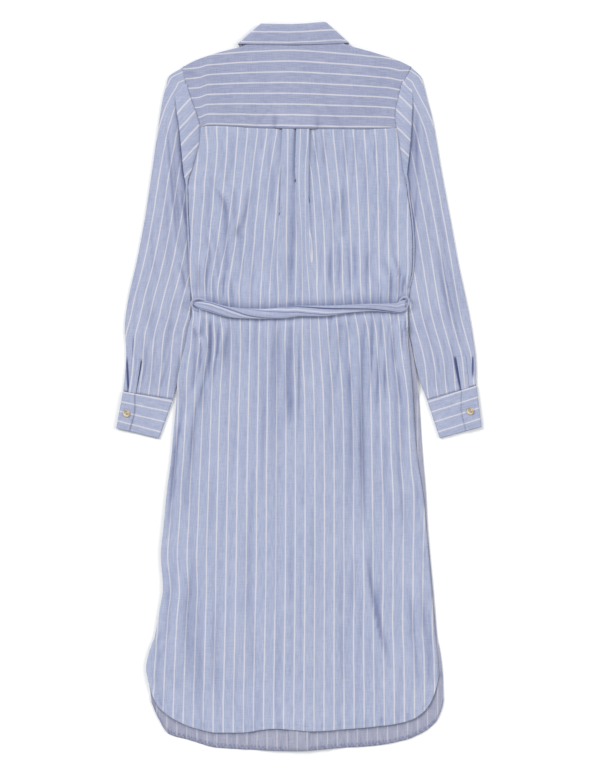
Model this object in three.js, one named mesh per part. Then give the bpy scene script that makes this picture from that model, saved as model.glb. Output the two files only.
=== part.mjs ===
import * as THREE from 'three';

// Shirt dress of woven cotton, laid flat with its back upward.
// Millimetres. X runs across, Y runs towards the collar, Z runs up.
// A "drop" is a distance down the garment from the back neck line.

// Cloth and layers
const wall = 1.0;
const seamGap = 0.3;
const layerStep = wall + seamGap;
const innerAir = 1.0;
const pleatRise = 3.0;

// Front button band, its lift off the surface, and the buttons under it
const bandHalfWidth = 17.0;
const bandLift = 2.9;
const bandFlat = 40;
const bandSlope = 38;
const frontNeckDrop = 66;
const buttonRadius = 5.8;
const buttonHeight = 2.3;
const buttonDish = 0.6;
const frontButtonCount = 8;
const firstButtonDrop = 92;
const buttonSpacing = 104;

// Collar area that lifts the fronts
const collarDepth = 94;
const collarHalfWidth = 92;
const collarSlope = 48;

// Belt
const beltThickness = 1.3;
const beltFrontHalfWidth = 9;
const beltFrontDrop = 430;
const beltLift = 1.8;
const beltReach = 16;
const beltSlope = 26;
const beltPuff = 2.4;

// Sleeves lie a little way under the side edges of the body
const sleeveHeight = 2.6;
const sleeveEdgeHeight = 2.0;
const sleeveLift = 3.0;
const sleeveLiftFlat = 9;
const sleeveLiftSlope = 26;

// Colours from the cloth, buttons and seams
const clothColour = 0xb2b9d2;
const yokeColour = 0xaaaec6;
const buttonColour = 0xd7c8a0;

const clothMaterial = new THREE.MeshStandardMaterial({ color: clothColour, roughness: 0.9, metalness: 0 });
const yokeMaterial = new THREE.MeshStandardMaterial({ color: yokeColour, roughness: 0.9, metalness: 0 });
const buttonMaterial = new THREE.MeshStandardMaterial({ color: buttonColour, roughness: 0.4, metalness: 0 });

function table(names, rows) {
  return rows.map((row) => Object.fromEntries(names.map((name, i) => [name, row[i]])));
}

// Smooth line through one column of a table, level past both ends
function curve(rows, from, to) {
  const xs = rows.map((row) => row[from]);
  const ys = rows.map((row) => row[to]);
  const last = xs.length - 1;
  const chords = xs.slice(1).map((x, i) => (ys[i + 1] - ys[i]) / (x - xs[i]));
  const slopes = xs.map((x, i) => {
    const before = chords[Math.max(i - 1, 0)];
    const after = chords[Math.min(i, last - 1)];
    return before * after <= 0 ? 0 : (2 * before * after) / (before + after);
  });
  return (x) => {
    if (x <= xs[0]) return ys[0];
    if (x >= xs[last]) return ys[last];
    let i = 0;
    while (x > xs[i + 1]) i += 1;
    const span = xs[i + 1] - xs[i];
    const t = (x - xs[i]) / span;
    const s = 1 - t;
    const start = ys[i] * (1 + 2 * t) + slopes[i] * span * t;
    const end = ys[i + 1] * (1 + 2 * s) - slopes[i + 1] * span * s;
    return start * s * s + end * t * t;
  };
}

const mix = (a, b, t) => a + (b - a) * t;
const smoothStep = THREE.MathUtils.smoothstep;

// 1 up to "flat", easing to 0 over "slope"
const plateau = (distance, flat, slope) => 1 - smoothStep(Math.abs(distance), flat, flat + slope);

// Side edges of the body: armhole to the underarm at drop 228, then the side seam
const bodyEdges = table(['drop', 'left', 'right', 'frontRight'], [
  [36, -191, 184.5, 184.5],
  [67, -185.5, 170, 170],
  [87, -179.8, 165.3, 165.3],
  [104, -173.6, 161.5, 161.5],
  [120, -168.2, 160.2, 160.2],
  [135, -165.2, 162.2, 162.2],
  [161, -166.3, 167, 167],
  [182, -171.3, 169.8, 169.8],
  [205, -177.9, 172.8, 172.8],
  [228, -183, 177.2, 177.2],
  [244, -182.3, 178.2, 178.2],
  [268, -181.8, 181.8, 181.8],
  [300, -180.4, 185.5, 185.5],
  [332, -178.8, 187, 187],
  [372, -177.5, 185.8, 185.8],
  [392, -176.6, 181.2, 181.2],
  [404, -175.5, 178.5, 178.5],
  [420, -174, 176.2, 176.2],
  [440, -174, 175.6, 175.6],
  [466, -179.5, 176, 178],
  [490, -185.5, 179, 184],
  [515, -193, 182, 189],
  [552, -200, 185.5, 195],
  [590, -202.5, 188, 198.5],
  [640, -207, 191, 201.5],
  [684, -211, 195.5, 204.6],
  [737, -217.8, 204, 209],
  [790, -222.8, 209.5, 212],
  [842, -227.5, 213.8, 216],
  [895, -224, 218.5, 221],
  [935, -231, 221.5, 224.4],
  [974, -237.6, 225, 227.7],
  [1001, -247, 228, 232.7],
  [1027, -252, 230, 236],
  [1054, -247, 231, 237.6],
  [1084, -243, 231, 238],
]);
const leftEdge = curve(bodyEdges, 'drop', 'left');
const rightEdge = curve(bodyEdges, 'drop', 'right');
const frontRightEdge = curve(bodyEdges, 'drop', 'frontRight');

// Shoulder and back neck line, which is the top of the yoke
const yokeTop = table(['x', 'drop'], [
  [-191, 36], [-168, 24.5], [-129, 11.5], [-102, 5], [-66, -6], [-50, -2.5], [-25, -0.5], [0, 0],
  [22, -1], [38, -4], [52, -8], [86, 2.5], [120, 11.5], [160, 24.2], [184.5, 35.5],
]);
const yokeTopDrop = curve(yokeTop, 'x', 'drop');
const yokeSeam = table(['x', 'drop'], [
  [-165, 135], [-149, 131.5], [-112, 132.8], [-61, 136], [0, 137.8], [112, 137.4], [162, 135],
]);
const yokeSeamDrop = curve(yokeSeam, 'x', 'drop');

// Front neck line, from the neck point to the button band
const frontNeck = table(['x', 'drop'], [[17, frontNeckDrop], [36, 54], [52, 28], [60, 2], [66, -9]]);
const frontNeckLine = curve(frontNeck, 'x', 'drop');

// Hems: the back one is shorter
const backHem = table(['x', 'drop'], [
  [-247, 1050], [-238, 1080], [-226, 1096], [-201, 1113.5], [-171, 1126], [-134, 1133.5], [-97, 1133.5],
  [-40, 1126.5], [25, 1130.5], [76, 1127.8], [130, 1123], [160, 1119], [186, 1112], [203, 1101.5],
  [217, 1084.5], [226, 1062], [231, 1038],
]);
const backHemDrop = curve(backHem, 'x', 'drop');
const frontHem = table(['x', 'drop'], [
  [-243, 1084], [-234, 1106], [-214, 1136], [-181, 1145.5], [-133, 1158.5], [0, 1163.5], [63, 1159],
  [121, 1155.5], [170, 1147], [199, 1136], [224, 1117.5], [236, 1092], [238, 1081],
]);
const frontHemDrop = curve(frontHem, 'x', 'drop');

// How far the sleeves lie under the body's side edges, as a share of the full lift
const sleeveTuck = table(['drop', 'share'], [
  [228, 0], [244, 1], [392, 1], [410, 0], [444, 0], [458, 1], [562, 1], [582, 0],
]);
const sleeveTuckShare = curve(sleeveTuck, 'drop', 'share');

// Height of the front panels' underside over the surface
function frontLift(x, drop) {
  const band = bandLift * plateau(x, bandFlat, bandSlope);
  const collar = bandLift * plateau(x, collarHalfWidth, collarSlope)
    * (1 - smoothStep(drop, collarDepth, collarDepth + collarSlope));
  const belt = beltLift * plateau(drop - beltFrontDrop, beltReach, beltSlope);
  const toEdge = Math.min(x - leftEdge(drop), frontRightEdge(drop) - x);
  const sleeve = sleeveLift * sleeveTuckShare(drop) * plateau(Math.max(toEdge, 0), sleeveLiftFlat, sleeveLiftSlope);
  return Math.max(band, collar, belt, sleeve);
}

const frontMiddle = (x, drop) => frontLift(x, drop) + wall / 2;

// Middle of the back panel and yoke before their folds
function backMiddle(x, drop) {
  const toEdge = Math.min(x - leftEdge(drop), rightEdge(drop) - x);
  const air = innerAir * smoothStep(toEdge, 0, 30);
  const innerBand = layerStep * plateau(x, bandHalfWidth + 4, 26) * smoothStep(drop, 30, 80);
  return frontMiddle(x, drop) + layerStep + air + innerBand;
}

// Soft folds of the back, each along a line through three points
const foldNames = ['x0', 'drop0', 'x1', 'drop1', 'x2', 'drop2', 'height', 'reach'];
const backFolds = table(foldNames, [
  [-139, 210, -112, 270, -108, 410, 4.2, 12],
  [-92, 225, -97, 275, -118, 330, 2.4, 9],
  [46, 330, 45, 370, 48, 410, 3.2, 9],
  [72, 315, 74, 360, 72, 410, 3.0, 9],
  [66, 225, 67, 280, 64, 330, 2.0, 8],
  [104, 320, 103, 365, 100, 410, 3.0, 10],
  [150, 345, 158, 375, 162, 408, 3.4, 9],
  [-152, 335, -158, 375, -160, 408, 3.0, 9],
  [-156, 458, -158, 520, -172, 600, 4.2, 11],
  [-126, 460, -130, 500, -134, 560, 3.2, 10],
  [-51, 460, -52, 560, -54, 760, 3.2, 12],
  [-3, 458, -3, 500, -4, 640, 3.6, 9],
  [44, 458, 42, 560, 40, 700, 2.4, 12],
  [96, 456, 97, 620, 99, 800, 4.6, 13],
  [100, 820, 118, 940, 142, 1040, 3.6, 18],
  [162, 458, 178, 560, 186, 700, 4.2, 10],
  [-178, 560, -196, 700, -206, 800, 4.0, 16],
  [-182, 830, -198, 960, -196, 1050, 4.4, 18],
  [-100, 700, -104, 880, -98, 1060, 2.6, 20],
  [10, 760, 14, 900, 20, 1070, 2.4, 20],
]);

function relief(folds) {
  const lines = folds.map((fold) => ({
    ...fold,
    line: curve([0, 1, 2].map((i) => ({ x: fold[`x${i}`], drop: fold[`drop${i}`] })), 'drop', 'x'),
  }));
  return (x, drop) => lines.reduce((sum, fold) => {
    const along = (drop - fold.drop0) / (fold.drop2 - fold.drop0);
    if (along <= 0 || along >= 1) return sum;
    const across = (x - fold.line(drop)) / fold.reach;
    return sum + fold.height * Math.exp(-across * across) * Math.sin(Math.PI * along) ** 0.8;
  }, 0);
}
const backRelief = relief(backFolds);

function point(x, drop, z) {
  return new THREE.Vector3(x, -drop, z);
}

function solid(points, faces) {
  const position = new Float32Array(points.flatMap((p) => p.toArray()));
  const volume = faces.reduce((sum, [a, b, c]) => {
    return sum + points[a].dot(new THREE.Vector3().crossVectors(points[b], points[c]));
  }, 0);
  const index = faces.flatMap(([a, b, c]) => (volume < 0 ? [a, c, b] : [a, b, c]));
  const geometry = new THREE.BufferGeometry();
  geometry.setAttribute('position', new THREE.BufferAttribute(position, 3));
  geometry.setIndex(index);
  geometry.computeVertexNormals();
  return geometry;
}

function quad(faces, a, b, c, d) {
  faces.push([a, b, c], [a, c, d]);
}

// Cloth wall about a middle surface given at grid points, closed round its rim
function sheet(columns, rows, middle, thickness = wall) {
  const grid = [];
  for (let j = 0; j <= rows; j += 1) {
    for (let i = 0; i <= columns; i += 1) grid.push(middle(i, j));
  }
  const at = (i, j) => grid[j * (columns + 1) + i];
  const skins = [[], []];
  for (let j = 0; j <= rows; j += 1) {
    for (let i = 0; i <= columns; i += 1) {
      const across = at(Math.min(i + 1, columns), j).clone().sub(at(Math.max(i - 1, 0), j));
      const along = at(i, Math.max(j - 1, 0)).clone().sub(at(i, Math.min(j + 1, rows)));
      const normal = across.cross(along).normalize().multiplyScalar(thickness / 2);
      skins[0].push(at(i, j).clone().add(normal));
      skins[1].push(at(i, j).clone().sub(normal));
    }
  }
  return closeSkins(columns, rows, skins);
}

// Cloth wall between two skins of grid points, closed round its rim
function closeSkins(columns, rows, skins) {
  const under = skins[0].length;
  const id = (i, j) => j * (columns + 1) + i;
  const faces = [];
  for (let j = 0; j < rows; j += 1) {
    for (let i = 0; i < columns; i += 1) {
      const [a, b, c, d] = [id(i, j), id(i + 1, j), id(i + 1, j + 1), id(i, j + 1)];
      quad(faces, a, b, c, d);
      quad(faces, under + d, under + c, under + b, under + a);
    }
  }
  for (let i = 0; i < columns; i += 1) {
    quad(faces, id(i + 1, 0), id(i, 0), under + id(i, 0), under + id(i + 1, 0));
    quad(faces, id(i, rows), id(i + 1, rows), under + id(i + 1, rows), under + id(i, rows));
  }
  for (let j = 0; j < rows; j += 1) {
    quad(faces, id(0, j), id(0, j + 1), under + id(0, j + 1), under + id(0, j));
    quad(faces, id(columns, j + 1), id(columns, j), under + id(columns, j), under + id(columns, j + 1));
  }
  return solid(skins.flat(), faces);
}

// Tube wall between an outer and an inner ring of points on each row
function tube(ringCount, rows, outer, inner) {
  const skins = [outer, inner].map((skin) => {
    const points = [];
    for (let j = 0; j <= rows; j += 1) {
      for (let i = 0; i < ringCount; i += 1) points.push(skin(i, j));
    }
    return points;
  });
  const under = skins[0].length;
  const id = (i, j) => j * ringCount + (i % ringCount);
  const faces = [];
  for (let i = 0; i < ringCount; i += 1) {
    for (let j = 0; j < rows; j += 1) {
      const [a, b, c, d] = [id(i, j), id(i + 1, j), id(i + 1, j + 1), id(i, j + 1)];
      quad(faces, a, b, c, d);
      quad(faces, under + d, under + c, under + b, under + a);
    }
    quad(faces, id(i + 1, 0), id(i, 0), under + id(i, 0), under + id(i + 1, 0));
    quad(faces, id(i, rows), id(i + 1, rows), under + id(i + 1, rows), under + id(i, rows));
  }
  return solid(skins.flat(), faces);
}

const dress = new THREE.Group();

function add(name, geometry, material = clothMaterial) {
  const mesh = new THREE.Mesh(geometry, material);
  mesh.name = name;
  dress.add(mesh);
  return mesh;
}

// Pleats under the yoke. "edge" is the fold that shows, "hidden" the width folded under it,
// negative where the fold has opened into a slope of that width.
const pleatNames = ['drop', 'edge', 'hidden', 'rise'];
const leftPleat = table(pleatNames, [
  [135, -26.5, 15, 3], [190, -29, 9, 3], [255, -30, 3, 3], [320, -33, -7, 2], [370, -37, -12, 1], [408, -40, -16, 0],
]);
const middleTuck = table(pleatNames, [
  [135, -3.5, 6, 3], [175, -5, 4.5, 3], [209, -5.5, 2.5, 3], [250, -1, -5, 2.2], [330, 2, -6, 1], [400, 2, -8, 0],
]);
const rightPleat = table(pleatNames, [
  [135, 16.5, 11, 3], [186, 15.5, 7, 3], [222, 15, 3.5, 3], [300, 17, -5, 2.4], [370, 21, -8, 1.2], [408, 24, -12, 0],
]);

// Six points from the lower layer to the upper one; "turn" is 1 for a full fold and 0 for a slope
function pleatSteps(rows) {
  const [edge, hidden, rise] = ['edge', 'hidden', 'rise'].map((name) => curve(rows, 'drop', name));
  return (drop) => {
    const width = hidden(drop);
    const height = rise(drop);
    const radius = pleatRise / 4;
    const turn = THREE.MathUtils.clamp(width / (2 * radius), 0, 1);
    const folded = [
      [width, 0], [width + radius, 0.25], [width, 0.5], [0, 0.5], [-radius, 0.75], [0, 1],
    ];
    return folded.map(([along, level], i) => ({
      offset: mix(width * (1 - i / 5), along, turn),
      level: mix(i / 5, level, turn) * height,
      edge: edge(drop),
    }));
  };
}
const leftSteps = pleatSteps(leftPleat);
const tuckSteps = pleatSteps(middleTuck);
const rightSteps = pleatSteps(rightPleat);
const stepCount = 6;

// Back panel: plain columns at each side of the pleats, and a few between them
const sideColumns = 11;
const betweenColumns = 3;
const hemRows = 5;

// Drops at which the front and back panels have a row of points in common
const rowStations = [
  148, 172, 200, 228, 244, 272, 310, 350, 392, 410, 420, 440, 460, 490, 525, 562, 582, 650, 715, 780, 842, 895,
  950, 1000,
];

function rowDrops(top, topRows, bottom) {
  const drops = [];
  for (let k = 0; k < topRows; k += 1) drops.push(mix(top, rowStations[0], k / topRows));
  drops.push(...rowStations);
  const last = rowStations[rowStations.length - 1];
  for (let k = 1; k <= hemRows; k += 1) drops.push(mix(last, bottom, k / hemRows));
  return drops;
}

function backSection(drop) {
  const steps = [leftSteps, tuckSteps, rightSteps].map((pleat) => pleat(drop));
  const left = steps[0].map(({ edge, offset, level }) => ({ x: edge + offset, level }));
  const tuck = steps[1].map(({ edge, offset, level }) => ({ x: edge + offset, level }));
  const right = steps[2].map(({ edge, offset, level }) => ({ x: edge - offset, level })).reverse();
  const section = [];
  for (let i = 0; i < sideColumns; i += 1) {
    section.push({ x: mix(leftEdge(drop), left[0].x, i / sideColumns), level: 0 });
  }
  section.push(...left);
  const clear = Math.max(left[0].x, left[5].x) + wall;
  for (let i = 1; i <= betweenColumns; i += 1) {
    const t = (i - 1) / betweenColumns;
    const fall = 1 - smoothStep(t, 0, 1);
    section.push({ x: mix(clear, tuck[0].x - Math.max(tuck[0].x - tuck[5].x, 0) - 1.5, t), level: left[5].level * fall });
  }
  section.push(...tuck);
  for (let i = 1; i <= betweenColumns; i += 1) {
    const t = i / (betweenColumns + 1);
    section.push({ x: mix(tuck[5].x, right[0].x, t), level: mix(tuck[5].level, right[0].level, t) });
  }
  section.push(...right);
  for (let i = 1; i <= sideColumns; i += 1) {
    section.push({ x: mix(right[5].x, rightEdge(drop), i / sideColumns), level: 0 });
  }
  return section;
}

function buildBackPanel() {
  const seamSection = backSection(yokeSeamDrop(0));
  const hemSection = backSection(rowStations[rowStations.length - 1]);
  const columns = hemSection.length - 1;
  const hemWidth = hemSection[columns].x - hemSection[0].x;
  const lines = hemSection.map(({ x }, i) => {
    const across = (x - hemSection[0].x) / hemWidth;
    const bottom = backHemDrop(mix(backHem[0].x, backHem[backHem.length - 1].x, across));
    return rowDrops(yokeSeamDrop(seamSection[i].x) + seamGap / 2, 1, bottom);
  });
  const middle = (i, j) => {
    const drop = lines[i][j];
    const { x, level } = backSection(drop)[i];
    return point(x, drop, backMiddle(x, drop) + backRelief(x, drop) + level);
  };
  add('back_panel', sheet(columns, lines[0].length - 1, middle));
}

// Yoke: raised over the pleats at its seam
const yokeColumns = 24;
const yokeRows = 6;
const pleatCentre = -5;
const pleatHalfWidth = 23;

function yokeMiddle(x, drop) {
  const toSeam = yokeSeamDrop(x) - drop;
  const overPleat = pleatRise * plateau(x - pleatCentre, pleatHalfWidth, 14) * plateau(toSeam, 4, 34);
  return backMiddle(x, drop) + overPleat;
}

function buildYoke() {
  const middle = (i, j) => {
    const across = i / yokeColumns;
    const topX = mix(yokeTop[0].x, yokeTop[yokeTop.length - 1].x, across);
    const seamX = mix(leftEdge(135), rightEdge(135), across);
    const drop = mix(yokeTopDrop(topX), yokeSeamDrop(seamX) - seamGap / 2, j / yokeRows);
    const x = mix(leftEdge(drop), rightEdge(drop), across);
    return point(x, drop, yokeMiddle(x, drop));
  };
  add('back_yoke', sheet(yokeColumns, yokeRows, middle), yokeMaterial);
}

// Front panels, one each side of the button band. Their columns keep fixed distances from the
// side edge and from the band, where they rise off the surface.
const edgeColumns = [0, 9, 18, 27, 36];
const bandEdge = bandHalfWidth + seamGap;
const bandColumnPlaces = [bandFlat + bandSlope, 65, 52, bandFlat, bandEdge];
const betweenPlaces = 2;
const frontTopRows = 7;

function frontColumnPlaces(edgeX, side) {
  const outer = edgeColumns.map((inset) => Math.abs(edgeX) - inset);
  const between = [];
  for (let k = 1; k <= betweenPlaces; k += 1) {
    between.push(mix(outer[outer.length - 1], bandColumnPlaces[0], k / (betweenPlaces + 1)));
  }
  return [...outer, ...between, ...bandColumnPlaces].map((place) => side * place);
}

function buildFront(name, side, edge) {
  const tops = frontColumnPlaces(edge(36), side);
  const hems = frontColumnPlaces(edge(1084), side);
  const lines = tops.map((x, i) => {
    const neck = Math.abs(x) < frontNeck[frontNeck.length - 1].x;
    const top = neck ? frontNeckLine(Math.abs(x)) : yokeTopDrop(x);
    return rowDrops(top, frontTopRows, frontHemDrop(hems[i]));
  });
  const middle = (i, j) => {
    const drop = lines[i][j];
    const x = frontColumnPlaces(edge(drop), side)[i];
    return point(x, drop, frontMiddle(x, drop));
  };
  add(name, sheet(tops.length - 1, lines[0].length - 1, middle));
}

// The two bands lie one over the other at the centre front
const bandColumns = 2;

function buildBand(name, level) {
  const middle = (i, j) => {
    const x = mix(-bandHalfWidth, bandHalfWidth, i / bandColumns);
    const drop = rowDrops(frontNeckDrop, 3, frontHemDrop(x))[j];
    return point(x, drop, frontMiddle(x, drop) + level);
  };
  add(name, sheet(bandColumns, rowDrops(0, 3, 1).length - 1, middle));
}

// Sleeves: a patch between armhole, cuff seam, outer edge and inner edge
const pathNames = ['x', 'drop'];
const armholeGap = 0.9;
const shoulderTip = { left: 37, right: 36.5 };
const underarm = 228.6;

function armhole(side) {
  const edge = side === 'left' ? leftEdge : rightEdge;
  const out = side === 'left' ? -armholeGap : armholeGap;
  const steps = 12;
  return Array.from({ length: steps + 1 }, (_, i) => {
    const drop = mix(shoulderTip[side], underarm, i / steps);
    return { x: edge(drop) + out, drop };
  });
}

const sleeves = {
  left: {
    outer: table(pathNames, [
      [-191.4, 37], [-212.8, 50.3], [-218.6, 67], [-224.4, 90], [-231, 129.5], [-241.7, 205.4], [-254.1, 288],
      [-267.3, 357.2], [-278.8, 406.7], [-285.4, 446.3], [-287, 472.7], [-284.8, 499], [-285.4, 529], [-289.6, 571],
    ]),
    inner: table(pathNames, [
      [-184, underarm], [-184, 242], [-182, 255], [-177.6, 276], [-175, 300], [-174.5, 332], [-174.6, 362],
      [-177.6, 392], [-178.5, 410], [-178.5, 440], [-178.6, 460], [-181, 489], [-188.5, 516], [-202.2, 562],
      [-208.2, 584.2],
    ]),
  },
  right: {
    outer: table(pathNames, [
      [184.8, 36.5], [199.6, 50.3], [204.6, 63.5], [211.2, 90], [221.1, 129.5], [234.3, 208.7], [249.1, 288],
      [261.5, 357.2], [272.2, 406.7], [280.5, 446.3], [287.1, 486], [291.2, 519], [292.1, 561.5],
    ]),
    inner: table(pathNames, [
      [177.8, underarm], [179, 244], [179.4, 258], [180.2, 280], [182, 332], [182, 366], [181.9, 392],
      [181.6, 410], [181.4, 440], [181.4, 466], [183, 480], [185.6, 494], [190.5, 520], [199, 552],
      [211.7, 585.2],
    ]),
  },
};

const sleeveFolds = {
  left: table(foldNames, [
    [-216, 120, -208, 250, -190, 400, 3.4, 10],
    [-236, 250, -232, 340, -206, 440, 2.6, 11],
    [-262, 350, -258, 430, -246, 520, 2.6, 12],
    [-214, 400, -222, 470, -240, 560, 2.6, 12],
    [-196, 70, -204, 110, -214, 160, 2.2, 10],
  ]),
  right: table(foldNames, [
    [196, 100, 204, 230, 196, 380, 3.4, 10],
    [228, 300, 240, 370, 262, 490, 3.6, 10],
    [214, 180, 226, 290, 238, 360, 2.2, 11],
    [206, 420, 226, 490, 250, 560, 2.6, 12],
    [192, 70, 200, 110, 206, 160, 2.2, 10],
  ]),
};

function path(rows) {
  const line = new THREE.SplineCurve(rows.map(({ x, drop }) => new THREE.Vector2(x, drop)));
  return (t) => line.getPointAt(THREE.MathUtils.clamp(t, 0, 1));
}

// The inner edge starts slowly, so that the rows fan out round the underarm
const innerPace = 1.6;

function sleevePatch(side) {
  const { outer, inner } = sleeves[side];
  const [top, outside, inside] = [armhole(side), outer, inner].map(path);
  const cuff = (u) => outside(1).lerp(inside(1), u);
  return (u, v) => {
    const ends = top(u).lerp(cuff(u), v);
    const sides = outside(v).lerp(inside(v ** innerPace), u);
    const corners = top(0).lerp(top(1), u).lerp(cuff(u), v);
    return ends.add(sides).sub(corners);
  };
}

const patches = { left: sleevePatch('left'), right: sleevePatch('right') };
const sleeveReliefs = { left: relief(sleeveFolds.left), right: relief(sleeveFolds.right) };

// Height of a sleeve's upper face over the surface
function sleeveTop(side, u, v) {
  const { x, y: drop } = patches[side](u, v);
  const edge = Math.min(u, 1 - u) / 0.12;
  const body = smoothStep(edge, 0, 1);
  return mix(sleeveEdgeHeight, sleeveHeight + sleeveReliefs[side](x, drop) * smoothStep(edge, 0.7, 1.9), body);
}

const sleeveAcross = 10;
const sleeveRows = 18;

function buildSleeve(side) {
  const ringCount = 2 * (sleeveAcross + 1);
  const place = (i) => {
    const upper = i <= sleeveAcross;
    const u = upper ? i / sleeveAcross : (ringCount - 1 - i) / sleeveAcross;
    return { upper, u };
  };
  const outer = (i, j) => {
    const { upper, u } = place(i);
    const v = j / sleeveRows;
    const { x, y: drop } = patches[side](u, v);
    const edgeShare = smoothStep(Math.min(u, 1 - u), 0, 0.09);
    return point(x, drop, upper ? sleeveTop(side, u, v) : mix(0.55, 0, edgeShare));
  };
  const inner = (i, j) => {
    const { upper, u } = place(i);
    const v = j / sleeveRows;
    const width = patches[side](0, v).distanceTo(patches[side](1, v));
    const inset = (wall * 1.2) / width;
    const { x, y: drop } = patches[side](mix(inset, 1 - inset, u), v);
    return point(x, drop, upper ? sleeveTop(side, mix(inset, 1 - inset, u), v) - wall + 0.1 : wall);
  };
  add(`sleeve_${side}`, tube(ringCount, sleeveRows, outer, inner));
}

// Sleeve placket: a strip on the upper face of the sleeve, above the cuff
const plackets = {
  left: { from: 0.1, to: 0.25 },
  right: { from: 0.15, to: 0.3 },
};
const placketTop = 0.9;
const placketBottom = 0.985;

function buildPlacket(side) {
  const { from, to } = plackets[side];
  const columns = 3;
  const rows = 4;
  const skins = [seamGap + wall, seamGap].map((lift) => {
    const points = [];
    for (let j = 0; j <= rows; j += 1) {
      for (let i = 0; i <= columns; i += 1) {
        const u = mix(from, to, i / columns);
        const v = mix(placketTop, placketBottom, j / rows);
        const { x, y: drop } = patches[side](u, v);
        points.push(point(x, drop, sleeveTop(side, u, v) + lift + 0.15));
      }
    }
    return points;
  });
  add(`sleeve_placket_${side}`, closeSkins(columns, rows, skins));
}

// Cuffs: a strip wound once round, its buttoned end on top
const cuffs = {
  left: {
    outerTop: [-290, 571.9], innerTop: [-208.3, 585], outerEnd: [-301, 631.6], innerEnd: [-231.3, 648.6],
    overlapTop: 0.23, overlapEnd: 0.3,
  },
  right: {
    outerTop: [292.2, 562.3], innerTop: [211.8, 586.1], outerEnd: [300.8, 629.5], innerEnd: [232.6, 648.1],
    overlapTop: 0.29, overlapEnd: 0.37,
  },
};
const cuffRows = 4;
const cuffLow = wall / 2;
const cuffMiddle = cuffLow + layerStep + 0.3;
const cuffHigh = cuffMiddle + layerStep;

function cuffPlace(cuff, across, along) {
  const start = new THREE.Vector2(...cuff.outerTop).lerp(new THREE.Vector2(...cuff.innerTop), across);
  const end = new THREE.Vector2(...cuff.outerEnd).lerp(new THREE.Vector2(...cuff.innerEnd), across);
  return start.lerp(end, along);
}

function cuffStations(overlap) {
  const turn = 0.017;
  const stations = [];
  [1, 0.66, 0.33].forEach((t) => stations.push([mix(turn, overlap, t), cuffHigh]));
  stations.push([turn, cuffHigh], [0, (cuffHigh + cuffLow) / 2], [turn, cuffLow]);
  for (let i = 1; i < 6; i += 1) stations.push([i / 6, cuffLow]);
  stations.push([1 - turn, cuffLow], [1, (cuffMiddle + cuffLow) / 2], [1 - turn, cuffMiddle]);
  for (let i = 5; i > 0; i -= 1) stations.push([i / 6, cuffMiddle]);
  stations.push([0.06, cuffMiddle]);
  return stations;
}

function buildCuff(side) {
  const cuff = cuffs[side];
  const count = cuffStations(cuff.overlapTop).length - 1;
  const middle = (i, j) => {
    const along = j / cuffRows;
    const [across, z] = cuffStations(mix(cuff.overlapTop, cuff.overlapEnd, along))[i];
    const { x, y: drop } = cuffPlace(cuff, across, along);
    return point(x, drop, z);
  };
  add(`cuff_${side}`, sheet(count, cuffRows, middle));
}

// Collar leaf and stand: stations from the left front, round the neck, to the right front
const collarNames = ['foldX', 'foldDrop', 'edgeX', 'edgeDrop', 'foldZ', 'edgeZ'];
const leafFront = 0.7;
const leafBack = 6.9;
const leafTurn = (leafFront + leafBack) / 2;
const leafStations = table(collarNames, [
  [-5, 40, -50, 94, leafFront, leafFront],
  [-34, 24, -72, 66, leafFront, leafFront],
  [-51, -4, -90, 32, leafFront, leafFront],
  [-59, -26, -97, 6, leafFront, leafFront],
  [-62, -33.5, -99.5, -0.6, leafFront + 1, leafFront + 1],
  [-63.2, -34.9, -101, -2, leafTurn, leafTurn],
  [-62, -35, -99, -1.8, leafBack - 1, leafBack - 1],
  [-57, -34.8, -92, -1.2, leafBack, leafBack],
  [-35, -34.4, -56, -0.3, leafBack, leafBack],
  [-11.5, -34.2, -14, 0, leafBack, leafBack],
  [12, -35.2, 20, -0.4, leafBack, leafBack],
  [34, -37.2, 56, -1.6, leafBack, leafBack],
  [41.5, -37.8, 76, -3, leafBack, leafBack],
  [45, -36.9, 81, -3.4, leafBack - 1, leafBack - 1],
  [46.2, -36, 82.5, -3, leafTurn, leafTurn],
  [45.5, -34.5, 81.5, -1.6, leafFront + 1, leafFront + 1],
  [43, -27, 80, 6, leafFront, leafFront],
  [38, -4, 76, 32, leafFront, leafFront],
  [27, 24, 64, 66, leafFront, leafFront],
  [5, 40, 48, 94, leafFront, leafFront],
]);
const standFront = 2.1;
const standBack = 4.9;
const standTurn = (standFront + standBack) / 2;
const standStations = table(collarNames, [
  [-1.5, 39, -1.5, frontNeckDrop - 0.6, standFront, standFront],
  [-28, 26, -32, 55.5, standFront, standFront],
  [-45, -2, -52, 27, standFront, standFront],
  [-54.5, -26, -59, -4, standFront, standFront],
  [-57, -30.5, -61, -10, standTurn, standTurn],
  [-55, -32, -59, -11, standBack, standBack],
  [-35, -32.6, -38, -2.9, standBack, standBack],
  [-11.5, -32.4, -12, -0.7, standBack, standBack],
  [12, -33.2, 12, -1.2, standBack, standBack],
  [30, -34.5, 30, -4, standBack, standBack],
  [37, -34.8, 40, -8.5, standBack, standBack],
  [40, -33, 44, -11, standTurn, standTurn],
  [38, -26, 43, -4, standFront, standFront],
  [32, -2, 39, 27, standFront, standFront],
  [22, 26, 28, 55.5, standFront, standFront],
  [1.5, 39, 1.5, frontNeckDrop - 0.6, standFront, standFront],
]);

function buildCollar(name, stations, rows) {
  const middle = (i, j) => {
    const { foldX, foldDrop, edgeX, edgeDrop, foldZ, edgeZ } = stations[i];
    const t = j / rows;
    return point(mix(foldX, edgeX, t), mix(foldDrop, edgeDrop, t), mix(foldZ, edgeZ, t));
  };
  add(name, sheet(stations.length - 1, rows, middle), yokeMaterial);
}

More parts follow.
